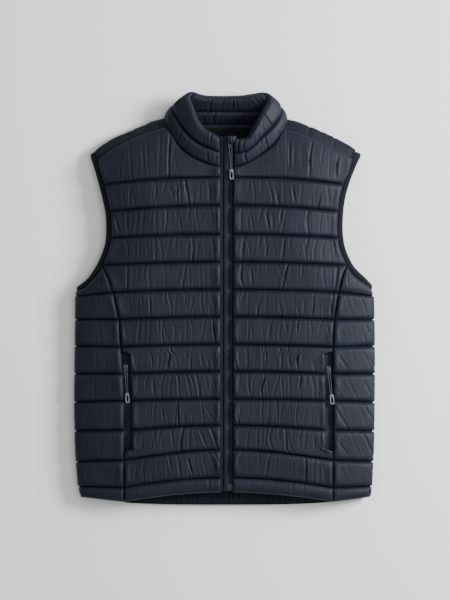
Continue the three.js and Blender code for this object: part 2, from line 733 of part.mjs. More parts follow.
function collar() {
  const curves = collarCurves();
  const outer = [];
  const inner = [];
  for (const [rise, padding] of COLLAR_PROFILE) {
    const outerRow = [];
    const innerRow = [];
    for (let step = 0; step <= COLLAR_STEPS; step += 1) {
      const along = step / COLLAR_STEPS;
      const middle = collarMiddle(curves, along, rise);
      const below = collarMiddle(curves, along, clamp(rise - SLOPE_STEP.up));
      const up = collarMiddle(curves, along, clamp(rise + SLOPE_STEP.up)).sub(below);
      const before = collarMiddle(curves, clamp(along - SLOPE_STEP.round), rise);
      const round = collarMiddle(curves, clamp(along + SLOPE_STEP.round), rise).sub(before);
      const normal = round.cross(up).normalize();
      const gather = step % 2 ? COLLAR_GATHER : 1;
      const thick = COLLAR_SEAM_WALL + (COLLAR_WALL - COLLAR_SEAM_WALL) * padding * gather;
      outerRow.push(middle.clone().addScaledVector(normal, thick / 2));
      innerRow.push(middle.clone().addScaledVector(normal, -thick / 2));
    }
    outer.push(outerRow);
    inner.push(innerRow);
  }
  return wall(outer, thin(inner, 1, 2), false);
}

place('collar', collar(), 'shell');

// Zip tapes follow the fronts and then the collar's opening
function tapeHeight(y) {
  const neck = FRONT_TOP[0][1];
  const low = stitchHeight(1, ZIP_X, Math.min(y, neck));
  return low - TAPE_SINK + clamp((y - neck) / (ZIP_TOP - neck)) * TAPE_COLLAR_RISE;
}

const TAPE_LEVELS = 22;
function tape(fromX, toX, fromY, toY, heightOf) {
  const rows = (drop) => {
    const grid = [];
    for (let level = 0; level <= TAPE_LEVELS; level += 1) {
      const y = mix(fromY, toY, level / TAPE_LEVELS);
      grid.push([fromX, toX].map((x) => new THREE.Vector3(x, y, heightOf(y) - drop)));
    }
    return grid;
  };
  return wall(rows(0), rows(TAPE_WALL), false);
}

const frontTape = (fromX, toX) => tape(fromX, toX, ZIP_BOTTOM, ZIP_TOP, tapeHeight);
place('zip_tape_right', frontTape(ZIP_LEFT_EDGE + SEAM_GAP, ZIP_X - SEAM_GAP / 2), 'tape');
place('zip_tape_left', frontTape(ZIP_X + SEAM_GAP / 2, ZIP_RIGHT_EDGE - SEAM_GAP), 'tape');

const STOP = { width: 9, length: 12, height: 2.4, y: ZIP_BOTTOM + 8 };

function block(width, length, height, corner) {
  const shape = new THREE.Shape();
  const [x, y] = [width / 2 - corner, length / 2 - corner];
  shape.absarc(x, y, corner, 0, Math.PI / 2);
  shape.absarc(-x, y, corner, Math.PI / 2, Math.PI);
  shape.absarc(-x, -y, corner, Math.PI, 1.5 * Math.PI);
  shape.absarc(x, -y, corner, 1.5 * Math.PI, 2 * Math.PI);
  return new THREE.ExtrudeGeometry(shape, { depth: height, bevelEnabled: false, curveSegments: 3 });
}

const stop = place('zip_stop', block(STOP.width, STOP.length, STOP.height, 1.5), 'slider');
stop.position.set(ZIP_X - 1, STOP.y, tapeHeight(STOP.y + STOP.length / 2) + SEAM_GAP);

// Pocket zips lie between the front's step and the side seam
const MIN_TAPE = 1.5; // the tape ends where its slot is narrower than this
const pocketTapeHeight = (side, y) => stitchHeight(side, seamX(side, y) - SEAM_GAP, y) - TAPE_SINK;

function pocketTape(side) {
  const levels = [];
  for (let channel = 1; channel < SIDE_LINES; channel += 1) {
    for (const rise of CHANNEL_STEPS) {
      const edge = frontPoint(side, channel, rise, 1);
      if (seamX(side, edge.y) - edge.x > MIN_TAPE) levels.push(edge);
    }
  }
  const rows = (drop) => levels.map(({ x, y }) => {
    const outside = seamX(side, y) - SEAM_GAP;
    const inside = x + SEAM_GAP;
    const z = pocketTapeHeight(side, y) - drop;
    return [inside, outside].map((reach) => new THREE.Vector3(side * reach, y, z));
  });
  return wall(rows(0), rows(TAPE_WALL), side < 0);
}

place('pocket_zip_right', pocketTape(-1), 'tape');
place('pocket_zip_left', pocketTape(1), 'tape');

// Sliders: a body with an arch over it, and a pull whose bar runs through the arch
const SLIDER = {
  width: 7.6,
  length: 12,
  height: 3,
  arch: 2.2,
  archLength: 9,
  archHeight: 3.6,
  archWall: 1,
  archRoot: 0.5, // how far the arch's feet reach into the body
  archFloor: 0.4, // floor of the arch's opening over the body
  corner: 2,
};
const BAR_RADIUS = 0.75;
const LEG_RADIUS = 0.7;
const LEG_SPREAD = 2.3;
const LEG_END_SPREAD = 1.2;
const BAR_LIFT = 1.6; // the bar's middle over the slider's body

function solidOf(geometry) {
  const bare = geometry.clone();
  bare.deleteAttribute('normal');
  bare.deleteAttribute('uv');
  const merged = mergeVertices(bare, 1e-4);
  return new wasm.Manifold(new wasm.Mesh({
    numProp: 3,
    vertProperties: new Float32Array(merged.attributes.position.array),
    triVerts: new Uint32Array(merged.index.array),
  }));
}

function geometryOf(solid) {
  const mesh = solid.getMesh();
  return indexed([...mesh.vertProperties], [...mesh.triVerts]);
}

function sliderGeometry() {
  const body = solidOf(block(SLIDER.width, SLIDER.length, SLIDER.height, SLIDER.corner));
  const half = SLIDER.archLength / 2;
  const profile = new THREE.Shape();
  profile.moveTo(-half, -SLIDER.archRoot);
  profile.lineTo(half, -SLIDER.archRoot);
  profile.quadraticCurveTo(half, SLIDER.archHeight, 0, SLIDER.archHeight);
  profile.quadraticCurveTo(-half, SLIDER.archHeight, -half, -SLIDER.archRoot);
  const hole = new THREE.Path();
  const inner = half - SLIDER.archWall;
  const roof = SLIDER.archHeight - SLIDER.archWall + SLIDER.archFloor;
  hole.moveTo(-inner, SLIDER.archFloor);
  hole.quadraticCurveTo(-inner, roof, 0, roof);
  hole.quadraticCurveTo(inner, roof, inner, SLIDER.archFloor);
  profile.holes.push(hole);
  const arch = new THREE.ExtrudeGeometry(profile, { depth: SLIDER.arch, bevelEnabled: false, curveSegments: 5 });
  arch.translate(0, 0, -SLIDER.arch / 2);
  arch.rotateX(Math.PI / 2);
  arch.rotateZ(Math.PI / 2);
  arch.translate(0, 0, SLIDER.height);
  return geometryOf(body.add(solidOf(arch)));
}

// A pull: bar, two legs of cord and a moulded end loop, lying toward -Y from its bar at the origin
const PULL_END = { width: 8, length: 19, height: 3, corner: 2.5, hole: 3.2, holeLength: 9, holeRise: 3 };

function rod(radius, from, to) {
  const geometry = new THREE.CylinderGeometry(radius, radius, from.distanceTo(to), 8);
  const along = to.clone().sub(from).normalize();
  const turn = new THREE.Quaternion().setFromUnitVectors(new THREE.Vector3(0, 1, 0), along);
  geometry.applyQuaternion(turn);
  geometry.translate(...from.clone().lerp(to, 0.5).toArray());
  return solidOf(geometry);
}

function pullGeometry(length) {
  const reach = length - PULL_END.length;
  const spot = (x, y) => new THREE.Vector3(x, y, 0);
  const barEnd = LEG_SPREAD + LEG_RADIUS;
  let solid = rod(BAR_RADIUS, spot(-barEnd, 0), spot(barEnd, 0));
  solid = solid.add(rod(LEG_RADIUS, spot(-LEG_SPREAD, 0.5), spot(-LEG_END_SPREAD, -reach - 1)));
  solid = solid.add(rod(LEG_RADIUS, spot(LEG_SPREAD, 0.5), spot(LEG_END_SPREAD, -reach - 1)));
  const end = block(PULL_END.width, PULL_END.length, PULL_END.height, PULL_END.corner);
  end.translate(0, -reach - PULL_END.length / 2, -PULL_END.height / 2);
  const slot = block(PULL_END.hole, PULL_END.holeLength, PULL_END.height * 2, 1.5);
  slot.translate(0, -reach - PULL_END.length + PULL_END.holeLength / 2 + PULL_END.holeRise, -PULL_END.height);
  return geometryOf(solid.add(solidOf(end)).subtract(solidOf(slot)));
}

const FRONT_SLIDER_Y = 277;
const FRONT_PULL_LENGTH = 64;
const POCKET_PULL_LENGTH = 63;
const POCKET_SLIDERS = { '-1': { x: 177, y: -124, yaw: 3 }, 1: { x: 187, y: -127, yaw: 6 } };

// Where each slider sits: its middle, and its pull's length, slope and turn
const ZIP_HARDWARE = [
  {
    slider: 'front_slider',
    pull: 'front_pull',
    x: ZIP_X,
    y: FRONT_SLIDER_Y,
    z: tapeHeight(FRONT_SLIDER_Y + SLIDER.length / 2) + SEAM_GAP,
    length: FRONT_PULL_LENGTH,
    pitch: 9,
    yaw: 2,
  },
  ...[-1, 1].map((side) => {
    const { x, y, yaw } = POCKET_SLIDERS[side];
    return {
      slider: side < 0 ? 'pocket_slider_right' : 'pocket_slider_left',
      pull: side < 0 ? 'pocket_pull_right' : 'pocket_pull_left',
      x: side * x,
      y,
      z: pocketTapeHeight(side, y + SLIDER.length / 2) + SEAM_GAP,
      length: POCKET_PULL_LENGTH,
      pitch: -3,
      yaw,
    };
  }),
];

for (const item of ZIP_HARDWARE) {
  const slider = place(item.slider, sliderGeometry(), 'slider');
  slider.position.set(item.x, item.y, item.z);
  const pull = place(item.pull, pullGeometry(item.length), 'pull');
  pull.position.set(item.x, item.y, item.z + SLIDER.height + BAR_LIFT);
  pull.rotation.set(THREE.MathUtils.degToRad(item.pitch), 0, THREE.MathUtils.degToRad(item.yaw), 'ZXY');
}

export default vest;
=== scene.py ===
import math

import bpy
import numpy as np
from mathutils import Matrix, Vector


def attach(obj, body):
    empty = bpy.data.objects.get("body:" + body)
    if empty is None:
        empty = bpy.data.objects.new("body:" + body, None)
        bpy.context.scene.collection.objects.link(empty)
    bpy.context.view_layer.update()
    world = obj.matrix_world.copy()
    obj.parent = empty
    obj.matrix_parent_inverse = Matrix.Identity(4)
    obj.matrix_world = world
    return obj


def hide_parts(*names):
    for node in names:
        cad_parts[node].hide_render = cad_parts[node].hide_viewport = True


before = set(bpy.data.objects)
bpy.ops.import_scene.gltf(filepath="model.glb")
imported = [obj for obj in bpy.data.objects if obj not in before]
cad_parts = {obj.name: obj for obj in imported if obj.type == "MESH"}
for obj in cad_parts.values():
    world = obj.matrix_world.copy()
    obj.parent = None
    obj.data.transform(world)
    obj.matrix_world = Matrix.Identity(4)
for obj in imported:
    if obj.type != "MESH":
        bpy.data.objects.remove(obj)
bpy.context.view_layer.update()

# The vest lies on its back. Sizes are in millimetres here, and meshes are made in metres.
# X runs across toward the wearer's left, Y from hem to collar, Z up off the surface.
MM = 0.001
RIGHT = -1
LEFT = 1
SIDE_NAME = {RIGHT: "right", LEFT: "left"}

# Driving sizes, as in the frame's solids
LOFT = 46
FOLD_HEIGHT = 17
FOLD_DEPTH = 25
ARMHOLE_LIFT = 5
SIDE_ROUND = 150
ARMHOLE_ROUND = 95
SHOULDER_ROUND = 110
HEM_ROUND = 120
HEM_DROP = 0.25
WALL = 5
BACK_WALL = 7
EDGE_TAPER = 20
SEAM_GAP = 0.3
ZIP_LEFT_EDGE = -7
ZIP_RIGHT_EDGE = 15
ZIP_X = 10.5
ZIP_TOP = 291
ZIP_BOTTOM = -345
BINDING_WIDTH = 10.5
BINDING_THICKNESS = 6
SEAM_TOP = 60
TIP_HEIGHT = 249
BACK_NECK = 317
YOKE_NECK_X = 108
YOKE_TIP_X = 225.5
YOKE_BACK_DROP = 0.6
NECK_SEAM = BACK_NECK - 3
POCKET_WIDTH = 13
POCKET_TOP = -96
POCKET_BOTTOM = -272
TAPE_SINK = 2.4
TAPE_WALL = 1.4
SCALLOP = 3
BACK_HEM = -370
BACK_HEM_LIFT = 13

# Tables: the first column is the key, then the wearer's right side and left side
SIDE_OUTLINE = [
    [-372, 250, 255],
    [-356, 257, 261.5],
    [-344, 262, 264.6],
    [-311, 265.5, 266.4],
    [-268, 268.6, 268.4],
    [-182, 270, 269.8],
    [-74, 268.8, 270],
    [0, 268, 268.4],
    [24, 267, 267],
]
ARMHOLE = [
    [21, 268, 266],
    [34, 249, 257.5],
    [56, 233, 235],
    [77.4, 222.3, 222.8],
    [99, 215, 215.6],
    [124, 212.8, 212.9],
    [153, 214.2, 213.7],
    [182, 220, 217.5],
    [212, 227.7, 226],
    [244, 237, 239],
    [258, 242, 246],
]
SHOULDER_FOLD = [
    [96, 330, 328],
    [116, 323, 322.5],
    [131, 318.8, 319],
    [162, 305.3, 307],
    [193, 292, 293],
    [213, 281.5, 282.5],
    [228, 270.2, 274],
    [242, 256, 263],
]
NECK_SEAM_FRONT = [
    [0, 236.5, 236.5],
    [14, 238, 236.5],
    [28, 241.5, 239],
    [48, 249.5, 248.5],
    [69, 262, 262],
    [85, 278, 275],
    [95, 296, 286],
    [104, 309, 303],
]
SHOULDER_SEAM = [
    [104, 309.5, 308],
    [131, 302, 300.5],
    [162, 289.8, 287],
    [193, 274.3, 271],
    [209, 264.1, 264],
    [219, 256, 259],
    [230, 246, 252],
]
SIDE_SEAM = [
    [-372, 180, 194.4],
    [-184, 180, 194.4],
    [-121, 183, 193.5],
    [-79, 186, 194],
    [-36, 189, 197],
    [9, 199, 204],
    [40, 209, 211],
    [SEAM_TOP, 218.5, 219.7],
]
# Stitch lines: height beside the zip, at the side seam or armhole, and at the side fold
STITCH_LINES = [
    [-347.4, -364.5, -356],
    [-321, -339, -337],
    [-271, -290, -293],
    [-227, -236, -237.6],
    [-180, -183, -186],
    [-130.5, -134.5, -134.6],
    [-82, -86.6, -84.6],
    [-32.5, -37.3, -37],
    [16.6, 11.3, 5],
    [66, 60, 60],
    [115.7, 109.4, 109.4],
    [167.4, 157.5, 157.5],
    [218.7, 206, 206],
]
SIDE_LINES = 9
LINE_BEND = 1.8

# Collar stations from the centre front to the centre back: base x, y, z, then rim x, y, z
COLLAR_RIGHT = [
    [7.3, 238, 45, 8.6, 288, 60],
    [17, 240.4, 45, 14, 292.5, 60],
    [28, 243.4, 44.5, 21, 297, 60],
    [48, 251, 43, 35, 305, 59],
    [68, 263.4, 40, 46, 319, 57],
    [84, 279.5, 36, 52, 334, 54],
    [94, 297, 31, 57, 348, 50],
    [102, 314, 25, 61, 359.5, 46],
    [103, 324, 15, 59, 366.5, 43],
    [96, 321, 7, 51, 368, 41],
    [76, BACK_NECK, 5, 40, 365, 39],
    [40, BACK_NECK, 5, 24, 363, 38],
]
COLLAR_LEFT = [
    [15.3, 238, 45, 16.5, 288, 60],
    [24, 239.8, 45, 28, 286.5, 61],
    [36, 244, 44.5, 42, 290, 61],
    [52, 252, 43, 51, 304, 60],
    [68, 263.4, 40, 58, 319, 57],
    [86, 278, 36, 65, 333, 54],
    [97, 293, 31, 71, 345, 50],
    [105, 309, 25, 76, 355.5, 46],
    [106, 322, 15, 74, 364, 43],
    [98, 321, 7, 64, 368, 41],
    [76, BACK_NECK, 5, 46, 366, 39],
    [40, BACK_NECK, 5, 26, 363.5, 38],
]
COLLAR_BULGE = 8


# Numeric helpers
def mix(a, b, share):
    return a + (b - a) * share


def ease(value):
    value = np.clip(value, 0, 1)
    return value * value * (3 - 2 * value)


def rounding(share):
    return (1 - (1 - np.clip(share, 0, 1)) ** 1.5) ** (1 / 1.5)


def column(side):
    return 1 if side == RIGHT else 2


def read(table, index, key):
    """Value of a column at a key in the first column, on a smooth curve through the rows."""
    rows = np.array(table, float)
    x, y = rows[:, 0], rows[:, index]
    slope = np.empty(len(x))
    slope[1:-1] = (y[2:] - y[:-2]) / (x[2:] - x[:-2])
    slope[0] = (y[1] - y[0]) / (x[1] - x[0])
    slope[-1] = (y[-1] - y[-2]) / (x[-1] - x[-2])
    key = np.asarray(key, float)
    i = np.clip(np.searchsorted(x, key, side="right") - 1, 0, len(x) - 2)
    span = x[i + 1] - x[i]
    t = np.clip((key - x[i]) / span, 0, 1)
    return ((2 * t**3 - 3 * t**2 + 1) * y[i] + (t**3 - 2 * t**2 + t) * slope[i] * span
            + (3 * t**2 - 2 * t**3) * y[i + 1] + (t**3 - t**2) * slope[i + 1] * span)


def armhole_line(side, inset):
    """The armhole's edge moved inward, from underarm to shoulder tip, as half widths and heights."""
    rows = np.array(ARMHOLE, float)
    y, x = rows[:, 0], rows[:, column(side)]
    along = np.concatenate([[0], np.cumsum(np.hypot(np.diff(x), np.diff(y)))])
    steps = np.linspace(0, along[-1], 160)
    px = read(np.stack([along, x], 1), 1, steps)
    py = read(np.stack([along, y], 1), 1, steps)
    dx, dy = np.gradient(px), np.gradient(py)
    length = np.hypot(dx, dy)
    return px - dy / length * inset, py + dx / length * inset


PANEL_INSET = BINDING_WIDTH + 0.5
UNDER_INSET = PANEL_INSET + 1.2
ARMHOLE_EDGE = {side: armhole_line(side, 0) for side in (RIGHT, LEFT)}
ARMHOLE_PANEL = {side: armhole_line(side, PANEL_INSET) for side in (RIGHT, LEFT)}
ARMHOLE_UNDER = {side: armhole_line(side, UNDER_INSET) for side in (RIGHT, LEFT)}
UNDERARM = ARMHOLE[0][0]


def width_at(line, y):
    return np.interp(y, line[1], line[0])


def outline(side, y):
    return np.where(np.asarray(y) > UNDERARM, width_at(ARMHOLE_EDGE[side], y), read(SIDE_OUTLINE, column(side), y))


def fold_y(side, x):
    return read(SHOULDER_FOLD, column(side), x)


def seam_x(side, y):
    return read(SIDE_SEAM, column(side), np.minimum(y, SEAM_TOP))


def front_top(side, x):
    x = np.asarray(x, float)
    return np.where(x < 104, read(NECK_SEAM_FRONT, column(side), x), read(SHOULDER_SEAM, column(side), x))


def panel_edge(side, y):
    y = np.asarray(y, float)
    return np.where(y < SEAM_TOP, seam_x(side, y) - SEAM_GAP / 2, width_at(ARMHOLE_PANEL[side], y))


def stitch_height(side, x, y):
    """Height of the fronts' stitched surface over the floor, at a half width."""
    across_width = mix(SIDE_ROUND, ARMHOLE_ROUND, ease((y + 40) / 100))
    across = rounding((outline(side, y) - x) / across_width)
    down = rounding((fold_y(side, np.maximum(x, 96)) - y) / SHOULDER_ROUND)
    hem = 1 - HEM_DROP * (1 - np.clip((y + 355) / HEM_ROUND, 0, 1)) ** 2
    low = FOLD_HEIGHT + ARMHOLE_LIFT * ease(y / 60) * down
    return low + (LOFT - low) * across * down * hem


def back_hem(x):
    return BACK_HEM - 1 + BACK_HEM_LIFT * (np.abs(x) / 255) ** 3.5


def back_top(x):
    return NECK_SEAM - np.maximum(0, x - YOKE_NECK_X) * YOKE_BACK_DROP


# Meshes
def finish_mesh(name, points, faces, material, indices=None, materials=None, body="garment", smooth=50):
    """An object from points in millimetres, smooth but for edges sharper than an angle."""
    mesh = bpy.data.meshes.new(name)
    mesh.from_pydata((np.asarray(points, float) * MM).tolist(), [], faces)
    for item in materials or [material]:
        mesh.materials.append(item)
    if indices is not None:
        mesh.polygons.foreach_set("material_index", indices)
    mesh.polygons.foreach_set("use_smooth", [True] * len(mesh.polygons))
    mesh.set_sharp_from_angle(angle=math.radians(smooth))
    mesh.update()
    piece = bpy.data.objects.new(name, mesh)
    bpy.context.scene.collection.objects.link(piece)
    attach(piece, body)
    return piece


def grid_quads(ids, turned):
    a, b, c, d = ids[:-1, :-1], ids[:-1, 1:], ids[1:, 1:], ids[1:, :-1]
    quads = np.stack([a, d, c, b] if turned else [a, b, c, d], -1)
    return quads.reshape(-1, 4)


def rim(ids):
    return [ids[0], ids[:, -1], ids[-1, ::-1], ids[::-1, 0]]


def wall(outer, inner, flip):
    """Points and faces of a closed wall between two grids, the inner coarser by whole steps."""
    points = np.concatenate([outer.reshape(-1, 3), inner.reshape(-1, 3)])
    out_ids = np.arange(outer.shape[0] * outer.shape[1]).reshape(outer.shape[:2])
    in_ids = np.arange(inner.shape[0] * inner.shape[1]).reshape(inner.shape[:2]) + out_ids.size
    outside = grid_quads(out_ids, flip).tolist()
    inside = grid_quads(in_ids, not flip).tolist()
    edge = []
    for out_line, in_line in zip(rim(out_ids), rim(in_ids)):
        ratio = (len(out_line) - 1) // (len(in_line) - 1)
        for step in range(len(in_line) - 1):
            for part in range(ratio):
                edge.append([out_line[step * ratio + part + 1], out_line[step * ratio + part], in_line[step]])
            edge.append([out_line[(step + 1) * ratio], in_line[step], in_line[step + 1]])
    if flip:
        edge = [face[::-1] for face in edge]
    edge = [[int(i) for i in face] for face in edge]
    kinds = [0] * len(outside) + [1] * len(inside) + [0] * len(edge)
    return points, outside + inside + edge, kinds


def wall_piece(name, outer, inner, flip, shell, lining, **options):
    points, faces, kinds = wall(outer, inner, flip)
    return finish_mesh(name, points, faces, shell, indices=kinds, materials=[shell, lining], **options)


def stitches(name, paths, pitch, length, radius, material, lift=0.2):
    """Thread laid in even dashes along several paths, as one mesh."""
    points, faces = [], []
    template = [(-1, 0, 0)] + [(-0.7, *c) for c in ((1, 0), (0, 1), (-1, 0), (0, -1))]
    template += [(0.7, *c) for c in ((1, 0), (0, 1), (-1, 0), (0, -1))] + [(1, 0, 0)]
    template = np.array(template, float)
    for path in paths:
        path = np.asarray(path, float)
        along = np.concatenate([[0], np.cumsum(np.linalg.norm(np.diff(path, axis=0), axis=1))])
        middles = np.arange(pitch, along[-1] - pitch * 0.6, pitch)
        for middle in middles:
            spot = np.array([np.interp(middle, along, path[:, i]) for i in range(3)])
            ahead = np.array([np.interp(middle + 0.5, along, path[:, i]) for i in range(3)]) - spot
            ahead /= np.linalg.norm(ahead)
            across = np.cross(ahead, [0, 0, 1.0])
            across /= max(np.linalg.norm(across), 1e-6)
            up = np.cross(across, ahead)
            first = len(points)
            spot = spot + up * lift
            for reach, wide, tall in template:
                points.append(spot + ahead * reach * length / 2 + across * wide * radius + up * tall * radius)
            for i in range(4):
                j = (i + 1) % 4
                faces.append([first, first + 1 + i, first + 1 + j])
                faces.append([first + 1 + i, first + 5 + i, first + 5 + j, first + 1 + j])
                faces.append([first + 9, first + 5 + j, first + 5 + i])
    piece = finish_mesh(name, points, faces, material, smooth=80)
    return piece


def tube_faces(rings, around, closed):
    """Quads of a swept loop of points, with end caps where the sweep is open."""
    faces = []
    count = rings if closed else rings - 1
    for ring in range(count):
        after = (ring + 1) % rings
        for i in range(around):
            j = (i + 1) % around
            faces.append([ring * around + i, ring * around + j, after * around + j, after * around + i])
    if not closed:
        faces.append(list(range(around))[::-1])
        faces.append([(rings - 1) * around + i for i in range(around)])
    return faces


# Cloth: a grid of points held at its stitches, longer than the space it is sewn to, and blown out
def normals_of(points):
    across = np.gradient(points, axis=1)
    up = np.gradient(points, axis=0)
    normal = np.cross(across, up)
    return normal / np.maximum(np.linalg.norm(normal, axis=2, keepdims=True), 1e-9)


def pull(points, free, low, high, rest, stiff, squeeze):
    """Move two sets of points toward their rest distance, in place."""
    between = points[high] - points[low]
    length = np.maximum(np.linalg.norm(between, axis=2), 1e-6)
    error = (length - rest) / length
    error *= np.where(error > 0, stiff, squeeze)
    weight = free[low] + free[high]
    share = (error / np.maximum(weight, 1))[..., None] * between
    points[low] += share * free[low][..., None]
    points[high] -= share * free[high][..., None]


def pairs(rows, columns, down, right):
    """Slices of grid points that are joined down and right, in sets with no point in common."""
    every = slice(None)
    sets = []
    if right:
        for start in range(2 * right):
            index = np.arange(start, columns - right, 2 * right)
            if len(index) and not down:
                sets.append(((every, index), (every, index + right)))
        if down:
            for start in range(2 * down):
                index = np.arange(start, rows - down, 2 * down)
                cols = np.arange(0, columns - right)
                if len(index):
                    sets.append((np.ix_(index, cols), np.ix_(index + down, cols + right)))
                    sets.append((np.ix_(index, cols + right), np.ix_(index + down, cols)))
        return sets
    for start in range(2 * down):
        index = np.arange(start, rows - down, 2 * down)
        if len(index):
            sets.append(((index, every), (index + down, every)))
    return sets


def settle(start, base, held, grow_across, grow_up, blow, steps, turned, most, least=-1.0, bend=0.12):
    """Blow a sewn cloth out. base is its sewn shape, start its first one, held its stitches."""
    points = start.copy()
    free = np.where(held, 0.0, 1.0)
    rows, columns = held.shape
    out = normals_of(base) * (-1 if turned else 1)
    families = []
    for down, right, stiff, squeeze, grow in [
        (0, 1, 1.0, 0.9, grow_across),
        (1, 0, 1.0, 0.7, grow_up),
        (1, 1, 0.35, 0.15, None),
        (0, 2, bend, bend, grow_across),
        (2, 0, bend, bend, grow_up),
    ]:
        for low, high in pairs(rows, columns, down, right):
            flat = np.linalg.norm(base[high] - base[low], axis=2)
            if grow is None:
                rest = flat * (1 + 0.5 * (grow_across + grow_up))
            else:
                rest = flat * (1 + grow)
            families.append((low, high, rest, stiff, squeeze))
    for _ in range(steps):
        points += normals_of(points) * (-blow if turned else blow) * free[..., None]
        for low, high, rest, stiff, squeeze in families:
            pull(points, free, low, high, rest, stiff, squeeze)
        height = ((points - base) * out).sum(2)
        excess = height - np.clip(height, least, most)
        points -= out * (excess * free)[..., None]
    return points


FLAT_CROWN = 7.6


def press_in(points, base, depth, held, turned):
    """Flatten the crowns toward one height, and sink creases into them along the cloth's normal."""
    out = normals_of(points) * (-1 if turned else 1)
    blend = normals_of(base) * (-1 if turned else 1)
    out = 0.5 * out + 0.5 * blend
    room = np.maximum(((points - base) * blend).sum(2), 0)
    full = FLAT_CROWN * (np.minimum(room, FLAT_CROWN) / FLAT_CROWN) ** 0.5
    settled = points + blend * (np.where(held, 0, full - room))[..., None]
    sunk = np.where(held, 0, np.minimum(depth, 0.8 * full + 0.1))
    return settled - out * sunk[..., None]


def gathers(random, rise, share, width, count, depth, slant=0.25):
    """Creases across one channel, as a depth to take off its crown."""
    total = np.zeros_like(rise)
    for _ in range(count):
        middle = random.uniform(0.02, 0.98)
        lean = random.uniform(-slant, slant)
        bow = random.uniform(-0.15, 0.15)
        size = random.uniform(1.8, 3.6)
        low = random.choice([0.0, 0.0, 0.35, 0.5])
        high = random.choice([1.0, 1.0, 0.65, 0.5])
        if low >= high:
            low, high = 0.0, 1.0
        line = middle + (lean * (rise - 0.5) + bow * np.sin(math.pi * rise)) * 30 / width
        away = (share - line) * width
        span = np.clip((rise - low) / 0.15, 0, 1) * np.clip((high - rise) / 0.15, 0, 1)
        trough = np.exp(-((away / size) ** 2))
        ridge = np.exp(-(((np.abs(away) - 2.2 * size) / size) ** 2))
        total += depth * random.uniform(0.5, 1.2) * span * (trough - 0.45 * ridge)
    return total


def small_creases(random, x, rise, tall, width, lean_at, count, deep):
    """Depth of narrow creases across one channel. x runs along the channel in millimetres."""
    total = np.zeros_like(x)
    level = (rise - 0.5) * tall
    for place in np.linspace(4, width - 4, count):
        middle = place + random.uniform(-0.45, 0.45) * width / count
        lean = lean_at(middle) + random.normal(0, 0.13)
        bow = random.normal(0, 1.3)
        kink = random.normal(0, 0.8)
        phase = random.uniform(0, 6)
        path = middle + lean * level + bow * np.sin(math.pi * rise) + kink * np.sin(7 * rise + phase)
        low, high = random.choice([(0, 1), (0, 1), (0, 0.55), (0.4, 1), (0.15, 0.8)])
        run = np.clip((rise - low) / 0.22 + (low == 0), 0, 1) * np.clip((high - rise) / 0.22 + (high == 1), 0, 1)
        size = random.uniform(1.3, 2.1)
        away = (x - path) / size
        depth = deep * random.uniform(0.35, 1.25)
        total += depth * run * (np.exp(-(away**2)) - 0.3 * np.exp(-((np.abs(away) - 1.9) ** 2)))
    return total


def puckers(random, x, rise, tall, width, pitch, deep):
    """Depth of the short pinches where thread draws the cloth in, along both edges of a channel."""
    total = np.zeros_like(x)
    for edge in (0, 1):
        away_edge = np.abs(rise - edge) * tall
        for place in np.arange(2, width - 1, pitch):
            middle = place + random.uniform(-0.3, 0.3) * pitch
            reach = random.uniform(2.5, 7.5)
            lean = random.normal(0, 0.12)
            away = (x - middle - lean * away_edge) / 1.25
            fade = np.clip(1 - away_edge / reach, 0, 1) * np.clip(away_edge / 0.8, 0, 1)
            total += deep * random.uniform(0.5, 1.2) * fade * np.exp(-(away**2))
    return total


# Materials
def new_material(name):
    material = bpy.data.materials.new(name)
    material.use_nodes = True
    tree = material.node_tree
    shader = tree.nodes["Principled BSDF"]
    return material, tree, shader


def link(tree, source, output, target, socket):
    tree.links.new(source.outputs[output], target.inputs[socket])


